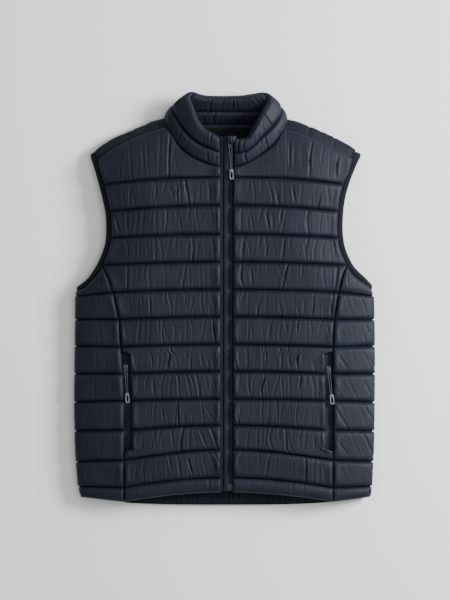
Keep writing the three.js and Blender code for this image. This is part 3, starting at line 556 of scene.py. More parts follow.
def cloth_material(name, dark, light, roughness, sheen, grain=2600, bump=0.1, crumple=0.3, mottle=28):
    """Woven cloth: two tones in soft patches, a fine weave and a slight crumple in the bump."""
    material, tree, shader = new_material(name)
    nodes = tree.nodes
    place = nodes.new("ShaderNodeTexCoord")
    patches = nodes.new("ShaderNodeTexNoise")
    patches.inputs["Scale"].default_value = mottle
    patches.inputs["Detail"].default_value = 4
    link(tree, place, "Object", patches, "Vector")
    ramp = nodes.new("ShaderNodeValToRGB")
    ramp.color_ramp.elements[0].position = 0.3
    ramp.color_ramp.elements[0].color = (*dark, 1)
    ramp.color_ramp.elements[1].position = 0.72
    ramp.color_ramp.elements[1].color = (*light, 1)
    link(tree, patches, "Fac", ramp, "Fac")
    link(tree, ramp, "Color", shader, "Base Color")
    weave = []
    for direction in ("X", "Y"):
        wave = nodes.new("ShaderNodeTexWave")
        wave.bands_direction = direction
        wave.inputs["Scale"].default_value = grain / 6.283
        wave.inputs["Distortion"].default_value = 0.6
        link(tree, place, "Object", wave, "Vector")
        weave.append(wave)
    both = nodes.new("ShaderNodeMath")
    both.operation = "MULTIPLY"
    link(tree, weave[0], "Fac", both, 0)
    link(tree, weave[1], "Fac", both, 1)
    fine = nodes.new("ShaderNodeBump")
    fine.inputs["Strength"].default_value = bump
    fine.inputs["Distance"].default_value = 0.0002
    link(tree, both, "Value", fine, "Height")
    folds = nodes.new("ShaderNodeTexNoise")
    folds.inputs["Scale"].default_value = 190
    folds.inputs["Detail"].default_value = 3
    folds.inputs["Roughness"].default_value = 0.55
    link(tree, place, "Object", folds, "Vector")
    crush = nodes.new("ShaderNodeBump")
    crush.inputs["Strength"].default_value = crumple
    crush.inputs["Distance"].default_value = 0.0012
    link(tree, folds, "Fac", crush, "Height")
    link(tree, fine, "Normal", crush, "Normal")
    link(tree, crush, "Normal", shader, "Normal")
    shine = nodes.new("ShaderNodeMapRange")
    shine.inputs["To Min"].default_value = roughness - 0.05
    shine.inputs["To Max"].default_value = roughness + 0.07
    link(tree, patches, "Fac", shine, "Value")
    link(tree, shine, "Result", shader, "Roughness")
    shader.inputs["Sheen Weight"].default_value = sheen
    shader.inputs["Sheen Roughness"].default_value = 0.45
    shader.inputs["Specular IOR Level"].default_value = 0.19
    return material


def hard_material(name, dark, light, roughness, metallic, scale=300):
    """Metal or moulded plastic with slight wear and a fine grain."""
    material, tree, shader = new_material(name)
    nodes = tree.nodes
    place = nodes.new("ShaderNodeTexCoord")
    wear = nodes.new("ShaderNodeTexNoise")
    wear.inputs["Scale"].default_value = scale
    wear.inputs["Detail"].default_value = 5
    link(tree, place, "Object", wear, "Vector")
    ramp = nodes.new("ShaderNodeValToRGB")
    ramp.color_ramp.elements[0].position = 0.35
    ramp.color_ramp.elements[0].color = (*dark, 1)
    ramp.color_ramp.elements[1].position = 0.7
    ramp.color_ramp.elements[1].color = (*light, 1)
    link(tree, wear, "Fac", ramp, "Fac")
    link(tree, ramp, "Color", shader, "Base Color")
    rough = nodes.new("ShaderNodeMapRange")
    rough.inputs["To Min"].default_value = roughness - 0.06
    rough.inputs["To Max"].default_value = roughness + 0.1
    link(tree, wear, "Fac", rough, "Value")
    link(tree, rough, "Result", shader, "Roughness")
    fine = nodes.new("ShaderNodeBump")
    fine.inputs["Strength"].default_value = 0.08
    fine.inputs["Distance"].default_value = 0.0002
    link(tree, wear, "Fac", fine, "Height")
    link(tree, fine, "Normal", shader, "Normal")
    shader.inputs["Metallic"].default_value = metallic
    return material


NYLON = cloth_material("navy_nylon", (0.0062, 0.0083, 0.0162), (0.0097, 0.0125, 0.0235), 0.56, 0.0)
YOKE_CLOTH = cloth_material("yoke_nylon", (0.0055, 0.0066, 0.0142), (0.0075, 0.0088, 0.0182), 0.62, 0.0, crumple=0.12)
LINING = cloth_material("lining", (0.0022, 0.0031, 0.0044), (0.0034, 0.0046, 0.0064), 0.8, 0.0)
FACING = cloth_material("hem_facing", (0.0056, 0.0070, 0.0145), (0.0080, 0.0098, 0.0198), 0.7, 0.0)
BINDING = cloth_material("binding", (0.0050, 0.0060, 0.0105), (0.0075, 0.0090, 0.0150), 0.8, 0.0, grain=1500, bump=0.3)
TAPE = cloth_material("zip_tape", (0.0080, 0.0106, 0.0200), (0.0114, 0.0150, 0.0275), 0.7, 0.0, grain=1800, bump=0.3)
THREAD = cloth_material("thread", (0.0060, 0.0075, 0.0125), (0.0095, 0.0115, 0.0180), 0.65, 0.0, grain=6000)
COIL = hard_material("zip_coil", (0.0035, 0.0045, 0.0080), (0.0060, 0.0075, 0.0120), 0.5, 0.0)
STOP_METAL = hard_material("zip_stop_metal", (0.018, 0.02, 0.025), (0.035, 0.038, 0.045), 0.5, 0.6)
GUNMETAL = hard_material("gunmetal", (0.055, 0.058, 0.068), (0.10, 0.105, 0.12), 0.4, 0.9)
PULL_CORD = cloth_material("pull_cord", (0.045, 0.049, 0.060), (0.078, 0.083, 0.098), 0.6, 0.0, grain=5000, bump=0.5)
PULL_END = hard_material("pull_end", (0.085, 0.09, 0.105), (0.13, 0.137, 0.155), 0.42, 0.0)


# Fronts
FRONT_COLUMNS = 148
ROWS_PER_CHANNEL = 22
HEM_ROWS = 12
TOP_ROWS = 34
FRONT_CROWN = 12.5
ZIP_EDGE_LIFT = {RIGHT: 4.2, LEFT: 2.6}  # the channels stand this much over their stitches beside the zip
SEAM_EDGE_LIFT = 2.6
INNER_STEP = 4


def zip_edge(side):
    return -ZIP_LEFT_EDGE if side == RIGHT else ZIP_RIGHT_EDGE


def line_y(index, share):
    row = STITCH_LINES[index]
    return mix(row[0], row[1], share**LINE_BEND)


def pocket_step(y):
    return POCKET_WIDTH * ease((POCKET_TOP - y) / 3) * ease((y - POCKET_BOTTOM) / 3)


def front_place(side, channel, rise, share):
    """Half width and height of a front's point: channel, share of its height, share of its width."""
    inner = zip_edge(side)
    top = channel == len(STITCH_LINES) - 1
    top_x = mix(inner, panel_edge(side, TIP_HEIGHT), share)
    low = line_y(channel, share)
    high = front_top(side, top_x) - SEAM_GAP if top else line_y(channel + 1, share)
    y = mix(low, high, rise)
    straight = mix(inner, panel_edge(side, y) - pocket_step(y), share)
    x = np.where(share < 1, mix(straight, top_x, rise), straight) if top else straight
    return x, y


def channel_rows(channel, last):
    if channel == 0:
        return HEM_ROWS
    return TOP_ROWS if channel == last else ROWS_PER_CHANNEL


def front(side):
    random = np.random.default_rng(11 if side == RIGHT else 23)
    last = len(STITCH_LINES) - 1
    share = np.linspace(0, 1, FRONT_COLUMNS + 1)
    base, crease, swell, stitched, fine = [], [], [], [], []
    width = float(panel_edge(side, -200)) - zip_edge(side)
    for channel in range(last + 1):
        count = channel_rows(channel, last)
        rises = np.arange(count + (channel == last)) / count
        rise_grid, share_grid = np.meshgrid(rises, share, indexing="ij")
        x, y = front_place(side, channel, rise_grid, share_grid)
        puffed = np.sin(math.pi * rise_grid) ** 0.7
        edge = np.minimum(share_grid, 1 - share_grid) * width
        at_zip = ZIP_EDGE_LIFT[side] * np.exp(-((share_grid * width / 9) ** 2))
        at_seam = SEAM_EDGE_LIFT * np.exp(-(((1 - share_grid) * width / 9) ** 2))
        z = stitch_height(side, x, y) + (at_zip + at_seam) * puffed * {0: 0.5}.get(channel, 1.0)
        base.append(np.stack([side * x, y, z], -1))
        taper = np.sin(math.pi / 2 * np.clip(edge / EDGE_TAPER, 0, 1)) ** 0.8
        crown = {0: 4.0, last: 8.0}.get(channel, 7.0)
        swell.append(crown * puffed * taper)
        number = {0: 4, last: 4}.get(channel, 6)
        depth = {0: 0.4, last: 0.8}.get(channel, 0.9)
        crease.append(gathers(random, rise_grid, share_grid, width, number, depth) * puffed * taper)
        tall = float(np.mean(y[-1] - y[0]))
        along = x - zip_edge(side)
        pull_in = 0.55 if channel in (2, 3) else (0.3 if channel in (1, 4) else 0.0)
        if side == LEFT:
            pull_in = 0.2 if channel < 4 else 0.0
        lean_at = lambda place, amount=pull_in: amount * max(0.0, 1 - place / 90)
        lines = {0: 8, last: 14}.get(channel, 16)
        deep = {0: 0.5, last: 0.75}.get(channel, 0.75)
        narrow = small_creases(random, along, rise_grid, tall, width, lean_at, lines, deep)
        sharp = {0: 2, last: 5}.get(channel, int(random.integers(3, 6)))
        narrow += small_creases(random, along, rise_grid, tall, width, lean_at, sharp, 0.8 if channel == 0 else 2.0)
        if channel == last:
            narrow *= ease((along - 45) / 60) * 0.9 + 0.1
        pinch = puckers(random, along, rise_grid, tall, width, 5.2, {0: 0.5}.get(channel, 0.95))
        fine.append(narrow * np.sin(math.pi * rise_grid) ** 0.35 * taper**0.5 + pinch * taper**0.3)
        stitched.append(np.isin(np.arange(len(rises)), [0, count]))
    base = np.concatenate(base)
    row_held = np.concatenate(stitched)
    held = np.zeros(base.shape[:2], bool)
    held[row_held] = True
    held[:, [0, -1]] = True
    start = base.copy()
    start[..., 2] += np.concatenate(swell) - np.concatenate(crease)
    start[..., 2] += np.where(held, 0, random.uniform(-0.35, 0.35, held.shape))
    start[held] = base[held]
    cloth = settle(start, base, held, 0.07, 0.085, 0.05, 120, side == RIGHT, FRONT_CROWN)
    cloth = press_in(cloth, base, np.concatenate(fine), held, side == RIGHT)
    inner = base.copy()
    inner[..., 2] -= WALL
    rows = np.unique(np.concatenate([np.arange(0, base.shape[0], 2), [base.shape[0] - 1]]))
    if (base.shape[0] - 1) % 2:
        rows = np.arange(base.shape[0])
    lines = [base[row, 1:-1] for row in np.flatnonzero(row_held)[:-1]]
    stitches(f"front_stitches_{SIDE_NAME[side]}", lines, 3.5, 2.6, 0.28, THREAD)
    if side == RIGHT:
        beside = cloth[4:-4, 1] + [0, 0, 0.1]
        stitches("zip_topstitch", [beside], 3.6, 2.5, 0.3, THREAD)
    piece = wall_piece(f"quilted_front_{SIDE_NAME[side]}", cloth, inner[rows][:, ::INNER_STEP], side == RIGHT,
                       NYLON, LINING)
    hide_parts(f"front_{SIDE_NAME[side]}")
    return piece


# Side panels, round the side folds
OVER_STATIONS = 44
UNDER_STATIONS = 10
FLOOR_STATIONS = 6
SIDE_STATIONS = OVER_STATIONS + UNDER_STATIONS + FLOOR_STATIONS


def side_panel(side):
    random = np.random.default_rng(31 if side == RIGHT else 47)
    under = ARMHOLE_UNDER[side]
    station = np.arange(SIDE_STATIONS + 1)
    to_fold = np.where(station <= OVER_STATIONS, station / OVER_STATIONS,
                       (SIDE_STATIONS - station) / (SIDE_STATIONS - OVER_STATIONS))
    over = np.clip(station / OVER_STATIONS, 0, 1)
    over = 1 - (1 - over) ** 1.25
    angle = np.radians(np.clip((station - OVER_STATIONS) / UNDER_STATIONS, 0, 1) * 90)
    back = np.clip((station - OVER_STATIONS - UNDER_STATIONS) / FLOOR_STATIONS, 0, 1)
    seam_step = float(np.interp(SEAM_TOP, under[1], np.arange(len(under[1]))))
    curve_y = np.interp((1 - to_fold) * seam_step, np.arange(len(under[1])), under[1])
    base, start, stitched, fine = [], [], [], []
    for channel in range(SIDE_LINES):
        top = channel == SIDE_LINES - 1
        count = HEM_ROWS if channel == 0 else ROWS_PER_CHANNEL
        rises = np.arange(count + top) / count
        rise = rises[:, None]
        low = mix(STITCH_LINES[channel][1], STITCH_LINES[channel][2], to_fold)[None]
        high = mix(STITCH_LINES[channel + 1][1], STITCH_LINES[channel + 1][2], to_fold)[None]
        if top:
            high = curve_y[None]
        y = mix(low, high, rise)
        nose_y = y[:, OVER_STATIONS:OVER_STATIONS + 1]
        seam = seam_x(side, y) + SEAM_GAP / 2
        edge = np.maximum(seam + 12, outline(side, np.minimum(y, nose_y)) - SCALLOP)
        reach = mix(seam, edge, over)
        z = stitch_height(side, np.minimum(reach, outline(side, y) - 0.2), y)
        below = station > OVER_STATIONS
        bend = edge - FOLD_DEPTH * (1 - np.cos(angle))
        reach = np.where(below, bend, reach)
        z = np.where(below, FOLD_HEIGHT * (1 - np.sin(angle)), z)
        reach = np.where(back > 0, mix(edge - FOLD_DEPTH, seam, back), reach)
        z[:, OVER_STATIONS] = np.minimum(z[:, OVER_STATIONS], FOLD_HEIGHT)
        if top:
            here = np.minimum(edge, mix(edge, width_at(under, y), rise))
            reach = np.minimum(reach, np.maximum(here, seam))
        grid = np.stack([side * reach, y, z], -1)
        puffed_edge = np.sin(math.pi * rise) ** 0.7 * {0: 0.5}.get(channel, 1.0)
        grid[..., 2] += SEAM_EDGE_LIFT * np.exp(-((over[None] * 78 / 9) ** 2)) * puffed_edge * (station <= OVER_STATIONS)
        base.append(grid)
        taper = np.sin(math.pi / 2 * np.clip(np.arange(SIDE_STATIONS + 1) / 8, 0, 1)) ** 0.8
        fade = np.clip((OVER_STATIONS + 4 - station) / 10, 0.15, 1) * (station < OVER_STATIONS + 8)
        puffed = np.sin(math.pi * rise) ** 0.7 * taper * fade
        amount = 4.0 if channel == 0 else (5.0 if top else 7.0)
        share = np.broadcast_to(over[None], y.shape)
        folds = gathers(random, np.broadcast_to(rise, y.shape).copy(), share, 75, 6, 1.8, slant=0.8)
        start.append(amount * puffed - folds * puffed)
        along = share * 78
        slope = 0.5 if side == LEFT else 0.1
        tall = float(np.mean(y[-1] - y[0]))
        rise_grid = np.broadcast_to(rise, y.shape)
        narrow = small_creases(random, along, rise_grid, tall, 78, lambda place, amount=slope: -amount, 5, 0.6)
        if side == LEFT:
            narrow += small_creases(random, along, rise_grid, tall, 78, lambda place: -0.75, 2, 1.6)
        pinch = puckers(random, along, rise_grid, tall, 78, 6.5, 0.5)
        fine.append((narrow * np.sin(math.pi * rise_grid) ** 0.35 + pinch) * taper * fade)
        stitched.append(np.isin(np.arange(len(rises)), [0, count]))
    base = np.concatenate(base)
    lift = np.concatenate(start)
    held = np.zeros(base.shape[:2], bool)
    held[np.concatenate(stitched)] = True
    held[:, 0] = True
    held[:, OVER_STATIONS + UNDER_STATIONS - 1:] = True
    out = normals_of(base) * side
    begin = base + out * lift[..., None]
    begin += out * np.where(held, 0, random.uniform(-0.3, 0.3, held.shape))[..., None]
    begin[held] = base[held]
    most = np.where(station <= OVER_STATIONS - 8, 11.0, np.interp(station, [OVER_STATIONS - 8, OVER_STATIONS], [11.0, 3.6]))
    cloth = settle(begin, base, held, 0.07, 0.075, 0.05, 120, side == RIGHT, most[None])
    cloth = press_in(cloth, base, np.concatenate(fine), held, side == RIGHT)
    cloth[..., 2] = np.maximum(cloth[..., 2], 0)
    inner = base - out * WALL
    inner[:, OVER_STATIONS + UNDER_STATIONS:, 2] = WALL
    inner[:, :1, 2] = base[:, :1, 2] - WALL - 0.5
    inner[..., 2] = np.maximum(inner[..., 2], 0.8)
    inner[:, :1, 0] = base[:, :1, 0]
    inner[:, -1, 0] = base[:, -1, 0]
    row_held = np.concatenate(stitched)
    lines = [base[row, 1:OVER_STATIONS + 6] for row in np.flatnonzero(row_held)[:-1]]
    stitches(f"side_stitches_{SIDE_NAME[side]}", lines, 3.5, 2.6, 0.28, THREAD)
    piece = wall_piece(f"quilted_side_{SIDE_NAME[side]}", cloth, inner[:, ::2], side == RIGHT, NYLON, LINING)
    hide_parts(f"side_{SIDE_NAME[side]}")
    return piece


# Back: flat where it rests, with its channels pressed against the floor
BACK_COLUMNS = 120
BACK_ROWS = 256
BACK_PINCH = 2.6


def back_grid(shrink, rows, columns):
    bottom, top = float(back_hem(190)), float(back_top(YOKE_TIP_X))
    levels = np.linspace(bottom, top, rows + 1)
    share = np.linspace(-1, 1, columns + 1)
    grid = np.empty((rows + 1, columns + 1, 3))
    for index, value in enumerate(share):
        side = RIGHT if value < 0 else LEFT
        reach = abs(value)
        x = reach * (panel_edge(side, levels) - shrink)
        low = back_hem(x[0]) + shrink
        high = back_top(x[-1]) - shrink
        grid[:, index, 0] = side * x
        grid[:, index, 1] = mix(low, high, (levels - bottom) / (top - bottom))
        grid[:, index, 2] = 0
    return grid


def back():
    outer = back_grid(0, BACK_ROWS, BACK_COLUMNS)
    lines = [row[1] for row in STITCH_LINES]
    lines += [256.0]
    y = outer[..., 1]
    drop = (outer[..., 0] / 200) ** 2 * 4 - 2
    near = np.min([np.abs(y - line - drop * (line < 250)) for line in lines], axis=0)
    outer[..., 2] = BACK_PINCH * np.exp(-((near / 3.4) ** 2))
    inner = back_grid(0, BACK_ROWS, BACK_COLUMNS)
    inner[..., 2] = BACK_WALL
    piece = wall_piece("quilted_back", outer, inner[::4, ::4], True, NYLON, LINING)
    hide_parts("back")
    return piece


# Collar: two channels outside and two inside, sewn at its base, middle and rim
COLLAR_AROUND = 300
COLLAR_HALF_ROWS = 15


def spline(points, count):
    """Points at even steps along a smooth curve through a list of points."""
    points = np.asarray(points, float)
    along = np.concatenate([[0], np.cumsum(np.linalg.norm(np.diff(points, axis=0), axis=1) ** 0.5)])
    steps = np.linspace(0, along[-1], count)
    return np.stack([read(np.stack([along, points[:, i]], 1), 1, steps) for i in range(3)], 1)


def even(points, count):
    along = np.concatenate([[0], np.cumsum(np.linalg.norm(np.diff(points, axis=0), axis=1))])
    steps = np.linspace(0, along[-1], count)
    return np.stack([np.interp(steps, along, points[:, i]) for i in range(3)], 1)


def collar_sheet(rises):
    """Middle surface of the collar, rows up from its base and columns round the neck."""
    def stations(kind):
        right = [[-row[kind], row[kind + 1], row[kind + 2]] for row in COLLAR_RIGHT]
        left = [[row[kind], row[kind + 1], row[kind + 2]] for row in COLLAR_LEFT]
        return np.array(right + left[::-1], float)

    def matched(points, guide):
        along = np.concatenate([[0], np.cumsum(np.linalg.norm(np.diff(guide, axis=0), axis=1) ** 0.5)])
        steps = np.linspace(0, along[-1], 900)
        return np.stack([read(np.stack([along, points[:, i]], 1), 1, steps) for i in range(3)], 1)

    base_points, rim_points = stations(0), stations(3)
    guide = (base_points + rim_points) / 2
    base_line, rim_line = matched(base_points, guide), matched(rim_points, guide)
    middle = (base_line + rim_line) / 2
    along = np.concatenate([[0], np.cumsum(np.linalg.norm(np.diff(middle, axis=0), axis=1))])
    steps = np.linspace(0, along[-1], COLLAR_AROUND + 1)
    sample = lambda line: np.stack([np.interp(steps, along, line[:, i]) for i in range(3)], 1)
    base_line, rim_line = sample(base_line), sample(rim_line)
    away = np.sign(base_line[:, 0] - ZIP_X / 2) * np.clip(np.abs(base_line[:, 0]) / 100, 0, 1) ** 3
    rise = rises[:, None, None]
    sheet = mix(base_line[None], rim_line[None], rise)
    sheet[..., 0] += COLLAR_BULGE * np.sin(math.pi * rise[..., 0]) * away[None]
    return sheet


def collar():
    random = np.random.default_rng(59)
    rises = np.linspace(0, 1, 2 * COLLAR_HALF_ROWS + 1)
    sheet = collar_sheet(rises)
    out = -normals_of(sheet)
    half = 1.6
    share = np.linspace(0, 1, COLLAR_AROUND + 1)[None] + 0 * rises[:, None]
    faces = []
    for turn in (1, -1):
        base = sheet + out * half * turn
        phase = (rises * 2) % 1
        swell = np.sin(math.pi * phase) ** 0.7
        swell[-1] = 0
        crease = np.zeros_like(share)
        for channel in range(2):
            rows = slice(channel * COLLAR_HALF_ROWS, (channel + 1) * COLLAR_HALF_ROWS + 1)
            rise_grid = np.linspace(0, 1, COLLAR_HALF_ROWS + 1)[:, None] + 0 * share[rows]
            crease[rows] = gathers(random, rise_grid, share[rows], 430, 26, 1.4, slant=0.2)
        held = np.zeros(share.shape, bool)
        held[[0, COLLAR_HALF_ROWS, -1]] = True
        held[:, [0, -1]] = True
        ends = np.sin(math.pi / 2 * np.clip(np.minimum(share, 1 - share) * 430 / 12, 0, 1)) ** 0.8
        lift = (4.6 - crease) * swell[:, None] * ends + np.where(held, 0, random.uniform(-0.25, 0.25, held.shape))
        start = base + out * turn * lift[..., None]
        start[held] = base[held]
        cloth = settle(start, base, held, 0.07, 0.11, 0.05, 100, turn == 1, 6.5)
        fine = np.zeros_like(share)
        for channel in range(2):
            rows = slice(channel * COLLAR_HALF_ROWS, (channel + 1) * COLLAR_HALF_ROWS + 1)
            rise_grid = np.linspace(0, 1, COLLAR_HALF_ROWS + 1)[:, None] + 0 * share[rows]
            along = share[rows] * 430
            number, deep = (26, 1.25) if turn == 1 else (44, 1.2)
            narrow = small_creases(random, along, rise_grid, 30, 430, lambda place: 0.0, number, deep)
            pinch = puckers(random, along, rise_grid, 30, 430, 8.5, 0.8)
            near_end = 1 + 0.9 * np.exp(-((np.minimum(along, 430 - along) / 26) ** 2))
            fine[rows] = (narrow * np.sin(math.pi * rise_grid) ** 0.4 + pinch) * near_end
        fine *= ends
        faces.append(press_in(cloth, base, fine, held, turn == 1))
    outer, inner = faces
    points, quads, kinds = wall(outer, inner, True)
    kinds = [0] * len(kinds)
    piece = finish_mesh("stand_collar", points, quads, NYLON)
    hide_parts("collar")
    return piece


# Shoulder yokes, plain cloth round the shoulder folds
YOKE_STEPS = 60
YOKE_FOLD_HEIGHT = 15
YOKE_FOLD_DEPTH = 18
YOKE_WALL = 4


def yoke(side):
    random = np.random.default_rng(71 if side == RIGHT else 83)
    over = np.linspace(0, 1, 13)[:-1] ** 0.8
    angle = np.radians(np.linspace(0, 90, 8))
    back = np.linspace(0, 1, 6)[1:]
    share = np.linspace(0, 1, YOKE_STEPS + 1)[:, None]
    end = np.concatenate([mix(227.0, 235.0, over), mix(235.5, 231.0, np.linspace(0, 1, 8)), mix(230.0, 226.0, back)])
    x = mix(YOKE_NECK_X - 5, end[None], share)
    fold = fold_y(side, x)
    seam = np.minimum(front_top(side, np.minimum(x, 226)), fold - 9) + SEAM_GAP
    over_part, bend_part, back_part = slice(0, 12), slice(12, 20), slice(20, 25)
    y = np.empty_like(x)
    z = np.zeros_like(x)
    y[:, over_part] = mix(seam[:, over_part], fold[:, over_part], over)
    y[:, bend_part] = fold[:, bend_part] - YOKE_FOLD_DEPTH * (1 - np.cos(angle))
    z[:, over_part] = stitch_height(side, x[:, over_part], y[:, over_part])
    z[:, bend_part] = YOKE_FOLD_HEIGHT * (1 - np.sin(angle))
    under = x[:, back_part]
    y[:, back_part] = mix(fold[:, back_part] - YOKE_FOLD_DEPTH, back_top(under) + SEAM_GAP, back)
    grid = np.stack([side * x, y, z], -1)
    out = normals_of(grid) * -side
    inner = grid - out * YOKE_WALL
    inner[..., 0] = grid[..., 0]
    inner[:, -5:, 2] = YOKE_WALL
    inner[:, 0, 1] = grid[:, 0, 1]
    inner[:, -1, 1] = grid[:, -1, 1]
    ripple = np.zeros(grid.shape[:2])
    for _ in range(9):
        middle = random.uniform(YOKE_NECK_X + 8, YOKE_TIP_X - 8)
        lean = random.uniform(-10, 10)
        away = x + lean * np.linspace(0, 1, grid.shape[1])[None] - middle
        ripple -= random.uniform(0.25, 0.7) * np.exp(-((away / random.uniform(2, 4)) ** 2))
    station = np.arange(grid.shape[1])
    body = np.clip(station / 3, 0, 1) * np.clip((grid.shape[1] - 8 - station) / 5, 0, 1)
    outer = grid + out * ((0.9 + ripple) * body)[..., None]
    outer[..., 2] = np.maximum(outer[..., 2], 0)
    piece = wall_piece(f"yoke_{SIDE_NAME[side]}", outer, inner, side == LEFT, YOKE_CLOTH, LINING)
    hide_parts(f"shoulder_{SIDE_NAME[side]}")
    return piece


# Armhole bindings: flat elastic folded over the edge, all round the armhole
BINDING_STATIONS = 70
UNDERARM_CORNER = {RIGHT: 2, LEFT: 6}  # the bindings' corners stand this much over the underarm


def binding(side):
    line = np.stack(armhole_line(side, BINDING_WIDTH / 2), 1)
    edge = np.stack(armhole_line(side, 0), 1)
    steps = np.linspace(10, len(line) - 4, BINDING_STATIONS).astype(int)
    inward = (line - edge) / np.linalg.norm(line - edge, axis=1)[:, None]
    thick = BINDING_THICKNESS / 2
    stations = []
    flare = 0.42 * ease((line[:, 1] - 222) / 32)
    for step in steps:
        z = float(stitch_height(side, line[step, 0], line[step, 1])) - thick + 0.5 + 1.3 * float(flare[step])
        middle = line[step] + inward[step] * flare[step] * BINDING_WIDTH / 2
        stations.append(([*middle, z], [*inward[step], 0], [0, 0, 1], 1 + flare[step]))
    tip = line[-1]
    tip_in = np.array([-1, 0.35, 0]) / math.hypot(1, 0.35)
    for turn in (0.25, 0.5, 0.75):
        angle = math.pi * turn
        up = [0.35 * math.sin(angle), math.sin(angle), math.cos(angle)]
        drop = mix(stations[BINDING_STATIONS - 1][0][2], thick, turn)
        reach = 3.0 * math.sin(angle)
        stations.append(([tip[0] - 1.5, tip[1] - 1.5 + reach, drop], [*tip_in[:2], 0], up, mix(1.35, 1.0, turn)))
    for step in steps[::-1]:
        stations.append(([*line[step], thick], [*inward[step], 0], [0, 0, -1], 1.0))
    under = float(read(SIDE_OUTLINE, column(side), UNDERARM))
    under_y = UNDERARM + UNDERARM_CORNER[side] - BINDING_WIDTH / 2
    for turn in (0.75, 0.5, 0.25):
        angle = math.pi * turn
        out = [math.sin(angle), 0, math.cos(angle)]
        z = mix(17.0, thick, turn)
        reach = under - thick - 5 + 5 * math.sin(angle)
        stations.append(([reach, under_y, z], [0.0, -1.0, 0], out, 1.0))
    centre = np.array([s[0] for s in stations], float)
    inward_all = np.array([s[1] for s in stations], float)
    out_all = np.array([s[2] for s in stations], float)
    wide = np.array([s[3] for s in stations], float)
    for array in (centre, inward_all, out_all):
        smooth = (np.roll(array, 1, 0) + 2 * array + np.roll(array, -1, 0)) / 4
        array[:] = smooth
    inward_all /= np.linalg.norm(inward_all, axis=1)[:, None]
    out_all -= inward_all * (out_all * inward_all).sum(1)[:, None]
    out_all /= np.linalg.norm(out_all, axis=1)[:, None]
    section = [(-0.5, -0.12), (-0.5, 0.12), (-0.42, 0.36), (-0.25, 0.47), (0.05, 0.5), (0.3, 0.46), (0.36, 0.4),
               (0.42, 0.46), (0.5, 0.42), (0.5, -0.42), (0.42, -0.46), (0.36, -0.4), (0.3, -0.46), (0.05, -0.5),
               (-0.25, -0.47), (-0.42, -0.36)]
    ripple = 1 + 0.05 * np.sin(np.arange(len(stations)) * 2.4)
    points = []
    for index in range(len(stations)):
        for across, through in section:
            point = (centre[index] + inward_all[index] * across * BINDING_WIDTH * wide[index]
                     + out_all[index] * through * BINDING_THICKNESS * ripple[index])
            points.append([side * point[0], point[1], max(0.0, point[2])])
    faces = tube_faces(len(stations), len(section), True)
    if side == RIGHT:
        faces = [face[::-1] for face in faces]
    seam = centre[:BINDING_STATIONS] + inward_all[:BINDING_STATIONS] * 3.6
    seam[:, 2] += thick + 0.1
    seam[:, 0] *= side
    stitches(f"binding_stitches_{SIDE_NAME[side]}", [seam], 3.2, 2.2, 0.28, THREAD, lift=-0.15)
    piece = finish_mesh(f"binding_{SIDE_NAME[side]}", points, faces, BINDING)
    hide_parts(f"armhole_binding_{SIDE_NAME[side]}")
    return piece


# Lining, neck tape and hem facing on the back's inner side
LINING_LOW = BACK_WALL + SEAM_GAP
LINING_WALL = 1
STRIP_LOW = LINING_LOW + LINING_WALL + SEAM_GAP


def lining():
    random = np.random.default_rng(97)
    grid = back_grid(5, 120, 64)
    wave = np.zeros(grid.shape[:2])
    for _ in range(26):
        middle = random.uniform(-200, 200)
        lean = random.uniform(-0.12, 0.12)
        away = grid[..., 0] - middle - lean * grid[..., 1]
        wave += random.uniform(-0.25, 0.5) * np.exp(-((away / random.uniform(5, 12)) ** 2))
    outer = grid.copy()
    outer[..., 2] = LINING_LOW + LINING_WALL + np.clip(wave, -0.2, 0.9) * (np.abs(grid[..., 1]) < 285)
    inner = grid.copy()
    inner[..., 2] = LINING_LOW
    piece = wall_piece("lining_of_back", outer, inner[::4, ::4], False, LINING, LINING)
    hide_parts("back_lining")
    return piece


def strip(name, half, low_y, width, steps, gather, material, node):
    x = np.linspace(-half, half, steps + 1)
    across = np.linspace(0, 1, 9)
    grid = np.empty((9, steps + 1, 3))
    for row, share in enumerate(across):
        grid[row, :, 0] = x
        grid[row, :, 1] = low_y(x) + width * share
    random = np.random.default_rng(101)
    wave = np.zeros(steps + 1)
    if gather:
        for middle in np.arange(-half + 9, half, 10.5):
            place = middle + random.uniform(-3, 3)
            wave -= random.uniform(1.4, 2.3) * np.exp(-(((x - place) / 1.3) ** 2))
    outer = grid.copy()
    body = np.sin(math.pi * across) ** 0.5
    outer[..., 2] = STRIP_LOW + 1.2 + (2.4 * gather + wave)[None] * body[:, None]
    inner = grid.copy()
    inner[..., 2] = STRIP_LOW
    piece = wall_piece(name, outer, inner[::4, ::4], False, material, material)
    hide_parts(node)
    return piece


# Zips
def tape_height(y):
    neck = NECK_SEAM_FRONT[0][1]
    low = stitch_height(LEFT, ZIP_X, np.minimum(y, neck))
    return low - TAPE_SINK + np.clip((y - neck) / (ZIP_TOP - neck), 0, 1) * 15


def tape_piece(name, profile, y, height, x_of, node):
    """A long tape: profile rows give share of its width and rise over its floor."""
    profile = np.array(profile, float)
    x = x_of(y)
    grid = np.empty((len(y), len(profile), 3))
    for index, (share, rise) in enumerate(profile):
        grid[:, index, 0] = mix(x[0], x[1], share)
        grid[:, index, 1] = y
        grid[:, index, 2] = height + rise
    inner = grid.copy()
    inner[..., 2] = (height - TAPE_WALL)[:, None]
    flip = x[1][0] < x[0][0]
    piece = wall_piece(name, grid, inner, flip, TAPE, TAPE)
    if node:
        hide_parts(node)
    return piece


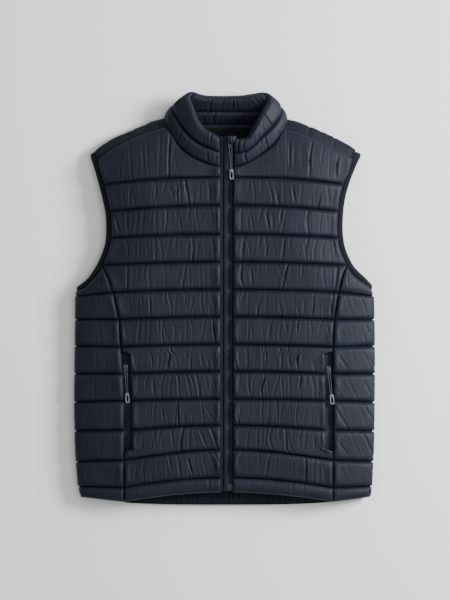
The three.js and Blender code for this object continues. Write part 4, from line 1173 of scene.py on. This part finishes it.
def coil(name, path, spread, pitch, size):
    """Zip teeth along a path, two staggered rows joined as one mesh."""
    path = np.asarray(path, float)
    length = np.concatenate([[0], np.cumsum(np.linalg.norm(np.diff(path, axis=0), axis=1))])
    count = int(length[-1] / pitch)
    steps = np.linspace(0.5 * pitch, length[-1] - 0.5 * pitch, count)
    centre = np.stack([np.interp(steps, length, path[:, i]) for i in range(3)], 1)
    ahead = np.stack([np.interp(steps + 0.5, length, path[:, i]) for i in range(3)], 1) - centre
    ahead /= np.linalg.norm(ahead, axis=1)[:, None]
    points, faces = [], []
    across = np.cross(ahead, [0, 0, 1.0])
    across /= np.linalg.norm(across, axis=1)[:, None]
    for index in range(count):
        turn = 1 if index % 2 else -1
        middle = centre[index] + across[index] * turn * spread
        first = len(points)
        for ring, (out, high) in enumerate([(-1.0, 0.55), (-0.5, 1.0), (0.5, 1.0), (1.0, 0.55)]):
            for along, up in [(-0.5, 0.0), (-0.32, 1.0), (0.32, 1.0), (0.5, 0.0)]:
                point = middle + across[index] * out * size + ahead[index] * along * pitch * 0.95
                points.append([point[0], point[1], point[2] + up * high * size * 0.75])
        for ring in range(3):
            for side_index in range(4):
                after = (side_index + 1) % 4
                faces.append([first + ring * 4 + side_index, first + ring * 4 + after,
                              first + ring * 4 + 4 + after, first + ring * 4 + 4 + side_index])
        faces.append([first + 3, first + 2, first + 1, first])
        faces.append([first + 12, first + 13, first + 14, first + 15])
    piece = finish_mesh(name, points, faces, COIL, smooth=40)
    return piece


def front_zip():
    y = np.linspace(ZIP_BOTTOM, ZIP_TOP, 160)
    height = tape_height(y)
    whole = lambda low, high: lambda level: (np.full(len(level), low), np.full(len(level), high))
    band = [[0, 0], [0.25, 0], [0.3, 1.2], [0.36, 2.1], [0.45, 2.4], [0.7, 2.4], [0.8, 2.1], [0.86, 1.2], [0.9, 0],
            [1, 0]]
    tape_piece("zip_band", band, y, height, whole(ZIP_LEFT_EDGE + SEAM_GAP, ZIP_X - 0.15), "zip_tape_right")
    narrow = [[0, 0], [0.5, 0], [1, 0]]
    tape_piece("zip_inner_tape", narrow, y, height, whole(ZIP_X + 0.15, ZIP_RIGHT_EDGE - SEAM_GAP), "zip_tape_left")
    path = np.stack([np.full(len(y), ZIP_X + 0.3), y, height + 0.05], 1)
    coil("front_coil", path, 1.0, 1.5, 1.3)


def pocket_height(side, y):
    return stitch_height(side, seam_x(side, y) - SEAM_GAP, y) - TAPE_SINK


def pocket_zip(side):
    y = np.linspace(POCKET_BOTTOM + 1.5, POCKET_TOP - 1.5, 60)
    height = pocket_height(side, y)
    outside = seam_x(side, y) - SEAM_GAP
    inside = panel_edge(side, y) - pocket_step(y) + SEAM_GAP
    inside = np.minimum(inside, outside - 1.2)
    name = SIDE_NAME[side]
    ends = lambda level: (side * inside, side * outside)
    flat = [[0, 0.9], [0.12, 0.9], [0.2, 0], [0.5, -0.3], [0.8, 0], [0.88, 0.9], [1, 0.9]]
    tape_piece(f"pocket_tape_{name}", flat, y, height, ends, f"pocket_zip_{name}")
    inner = y[3:-3]
    middle = side * (inside + outside)[3:-3] / 2
    coil(f"pocket_coil_{name}", np.stack([middle, inner, height[3:-3] - 0.2], 1), 0.9, 1.5, 1.2)


def zip_garage():
    """A tab of cloth folded over the zip's top end, gathered toward the slider."""
    rise = np.linspace(0, 1, 17)[:, None]
    share = np.linspace(0, 1, 25)[None]
    low_x, high_x = mix(10.6, 4.5, rise**0.5), mix(15.4, 21.0, rise**0.6)
    x = mix(low_x, high_x, share)
    y = mix(273.5, 291.5, rise) - 1.5 * np.sin(math.pi * share) * (1 - rise)
    middle = 58.5 + 4.0 * ease(rise / 0.5) + 0 * share
    bulk = np.sin(math.pi * share) ** 0.5 * np.sin(math.pi * np.clip(rise, 0.04, 0.96)) ** 0.5
    folds = 0.7 * np.sin(share * 17 + 1.6 * rise) + 0.35 * np.sin(share * 31 - 3 * rise + 1)
    top = np.stack([x + 0 * y, y + 0 * x, middle + bulk * (2.4 + folds)], -1)
    bottom = np.stack([x + 0 * y, y + 0 * x, middle - 0.8 - 0.4 * bulk], -1)
    piece = wall_piece("zip_garage", top, bottom[::4, ::4], False, NYLON, NYLON)
    return piece


def bar_tacks():
    """Dense bars of thread across the ends of the pocket zips."""
    for side in (RIGHT, LEFT):
        paths = []
        for y in (POCKET_TOP + 1.5, POCKET_BOTTOM - 1.5):
            for step in np.arange(-1.2, 1.3, 0.6):
                reach = seam_x(side, y) - np.linspace(1, 11, 8)
                height = stitch_height(side, reach, np.full(8, y)) + 0.9
                paths.append(np.stack([side * reach, np.full(8, y + step), height], 1))
        stitches(f"bar_tacks_{SIDE_NAME[side]}", paths, 2.0, 2.4, 0.3, THREAD, lift=0.2)


# Pulls: two strands of cord and a moulded end loop, from the hinge toward the hem
END_LENGTH = 19
END_WIDTH = 8
SLIDER_HEIGHT = 3
BAR_LIFT = 1.6


def pull_tube(points, radius, around=10):
    points = np.asarray(points, float)
    ahead = np.gradient(points, axis=0)
    ahead /= np.linalg.norm(ahead, axis=1)[:, None]
    guide = np.array([0, 0, 1.0])
    across = np.cross(ahead, guide)
    across /= np.maximum(np.linalg.norm(across, axis=1)[:, None], 1e-6)
    up = np.cross(across, ahead)
    angles = np.arange(around) * 2 * math.pi / around
    rings = (points[:, None] + radius * (np.cos(angles)[None, :, None] * across[:, None]
                                         + np.sin(angles)[None, :, None] * up[:, None]))
    return rings.reshape(-1, 3), tube_faces(len(points), around, False)


def placed(points, where, pitch, yaw):
    """Turn points about X and then Z, and move them to a place."""
    pitch, yaw = math.radians(pitch), math.radians(yaw)
    points = np.asarray(points, float)
    x, y, z = points.T
    y, z = y * math.cos(pitch) - z * math.sin(pitch), y * math.sin(pitch) + z * math.cos(pitch)
    x, y = x * math.cos(yaw) - y * math.sin(yaw), x * math.sin(yaw) + y * math.cos(yaw)
    return np.stack([x, y, z], 1) + np.array(where)


def zip_pull(name, node, body, where, length, pitch, yaw):
    reach = length - END_LENGTH
    points, faces, kinds = [], [], []

    def add(new_points, new_faces, kind):
        first = len(points)
        points.extend(np.asarray(new_points).tolist())
        faces.extend([[index + first for index in face] for face in new_faces])
        kinds.extend([kind] * len(new_faces))

    turn = np.linspace(0, math.pi, 15)
    loop = np.stack([2.3 * np.cos(turn), 0.9 * np.sin(turn) - 0.4, 0 * turn], 1)
    down = np.linspace(0, 1, 14)[1:, None]
    left = mix(np.array([[-2.3, -0.4, 0]]), np.array([[-1.1, -reach - 2, 0]]), down)
    right = mix(np.array([[2.3, -0.4, 0]]), np.array([[1.1, -reach - 2, 0]]), down)
    strand = np.concatenate([right[::-1], loop, left])
    fine = even(strand, 90)
    add(*pull_tube(fine, 0.68), 0)
    around = np.arange(40) * 2 * math.pi / 40
    half_length, half_width = END_LENGTH / 2, END_WIDTH / 2
    power = 2 / 5.5
    oval_x = np.sign(np.cos(around)) * np.abs(np.cos(around)) ** power
    oval_y = np.sign(np.sin(around)) * np.abs(np.sin(around)) ** power
    taper = 1 - 0.08 * (oval_y + 1) / 2
    hole_y = np.sign(np.sin(around)) * np.abs(np.sin(around)) ** 0.8
    hole_x = np.sign(np.cos(around)) * np.abs(np.cos(around)) ** 0.8
    middle = -reach - half_length
    hole_middle = middle - 1.6
    rings = []
    for inset, height in [(0, -0.35), (0, 0.35), (0.35, 1.0), (0.8, 1.35)]:
        rings.append(np.stack([oval_x * (half_width - inset) * taper, middle + oval_y * (half_length - inset),
                               np.full(40, height)], 1))
    for grow, height in [(0.7, 1.35), (0.25, 1.0), (0.0, 0.4), (0.0, -0.4), (0.25, -1.0), (0.7, -1.35)]:
        rings.append(np.stack([hole_x * (1.7 + grow), hole_middle + hole_y * (5.6 + grow), np.full(40, height)], 1))
    for inset, height in [(0.8, -1.35), (0.35, -1.0)]:
        rings.append(np.stack([oval_x * (half_width - inset) * taper, middle + oval_y * (half_length - inset),
                               np.full(40, height)], 1))
    add(np.concatenate(rings), tube_faces(len(rings), 40, True), 1)
    solid = placed(points, where, pitch, yaw)
    piece = finish_mesh(name, solid, faces, PULL_CORD, indices=kinds, materials=[PULL_CORD, PULL_END], body=body)
    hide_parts(node)
    return piece


SLIDER_PLACES = {
    "front": (ZIP_X, 277, float(tape_height(283)) + SEAM_GAP),
    "right": (-177, -124, float(pocket_height(RIGHT, -118)) + SEAM_GAP),
    "left": (187, -127, float(pocket_height(LEFT, -121)) + SEAM_GAP),
}


def hardware():
    for place, node, body, length, pitch, yaw in [
        ("front", "front_pull", "front_zip_pull", 64, 9, 2),
        ("right", "pocket_pull_right", "right_pocket_pull", 63, -3, 3),
        ("left", "pocket_pull_left", "left_pocket_pull", 63, -3, 6),
    ]:
        x, y, z = SLIDER_PLACES[place]
        zip_pull(f"{node}_cord", node, body, (x, y, z + SLIDER_HEIGHT + BAR_LIFT), length, pitch, yaw)
    for node in ("front_slider", "pocket_slider_right", "pocket_slider_left", "zip_stop"):
        piece = bpy.data.objects[node]
        piece.data.materials.clear()
        piece.data.materials.append(STOP_METAL if node == "zip_stop" else GUNMETAL)


# Studio
def studio():
    floor = bpy.data.meshes.new("floor")
    size = 6
    floor.from_pydata([(-size, -size, 0), (size, -size, 0), (size, size, 0), (-size, size, 0)], [], [(0, 1, 2, 3)])
    stage = bpy.data.objects.new("floor", floor)
    bpy.context.scene.collection.objects.link(stage)
    material, tree, shader = new_material("pale_floor")
    shader.inputs["Base Color"].default_value = (0.93, 0.93, 0.93, 1)
    shader.inputs["Roughness"].default_value = 0.9
    floor.materials.append(material)
    stage.location.z = -0.0005
    world = bpy.data.worlds.new("studio")
    bpy.context.scene.world = world
    world.use_nodes = True
    world.node_tree.nodes["Background"].inputs["Color"].default_value = (1, 1, 1, 1)
    world.node_tree.nodes["Background"].inputs["Strength"].default_value = 0.45
    for name, place, aim, power, size in [
        ("key", (2.2, 0.7, 1.45), (0, 0, 0), 150, 1.0),
        ("fill", (0.5, 0.1, 2.8), (0, 0, 0), 24, 1.6),
    ]:
        lamp = bpy.data.lights.new(name, "AREA")
        lamp.energy = power
        lamp.size = size
        light = bpy.data.objects.new(name, lamp)
        light.location = place
        way = np.array(aim, float) - np.array(place, float)
        light.rotation_euler = Vector(way).to_track_quat("-Z", "Y").to_euler()
        bpy.context.scene.collection.objects.link(light)


PHOTO_SCALE = 1.8  # millimetres to a pixel of the photograph, which is 450 by 600
CAMERA_LENS = 200
CAMERA_PLANE = 22  # height in millimetres at which the photo's scale holds


def camera():
    data = bpy.data.cameras.new("camera")
    data.lens = CAMERA_LENS
    data.sensor_width = 36
    data.clip_end = 30
    eye = bpy.data.objects.new("camera", data)
    frame_height = 600 * PHOTO_SCALE * MM
    distance = frame_height * CAMERA_LENS / 36
    eye.location = (0.5 * PHOTO_SCALE * MM, -1.0 * PHOTO_SCALE * MM, distance + CAMERA_PLANE * MM)
    bpy.context.scene.collection.objects.link(eye)
    bpy.context.scene.camera = eye


camera()
studio()
for each_side in (RIGHT, LEFT):
    front(each_side)
    side_panel(each_side)
    yoke(each_side)
    binding(each_side)
    pocket_zip(each_side)
back()
collar()
lining()
strip("neck_seam_tape", 88, lambda x: 308.8 + 0 * x, 8, 60, 0, YOKE_CLOTH, "neck_tape")
strip("hem_seam_facing", 172, lambda x: back_hem(x) + 2.2, 30, 260, 1, FACING, "hem_facing")
front_zip()
zip_garage()
bar_tacks()
hardware()
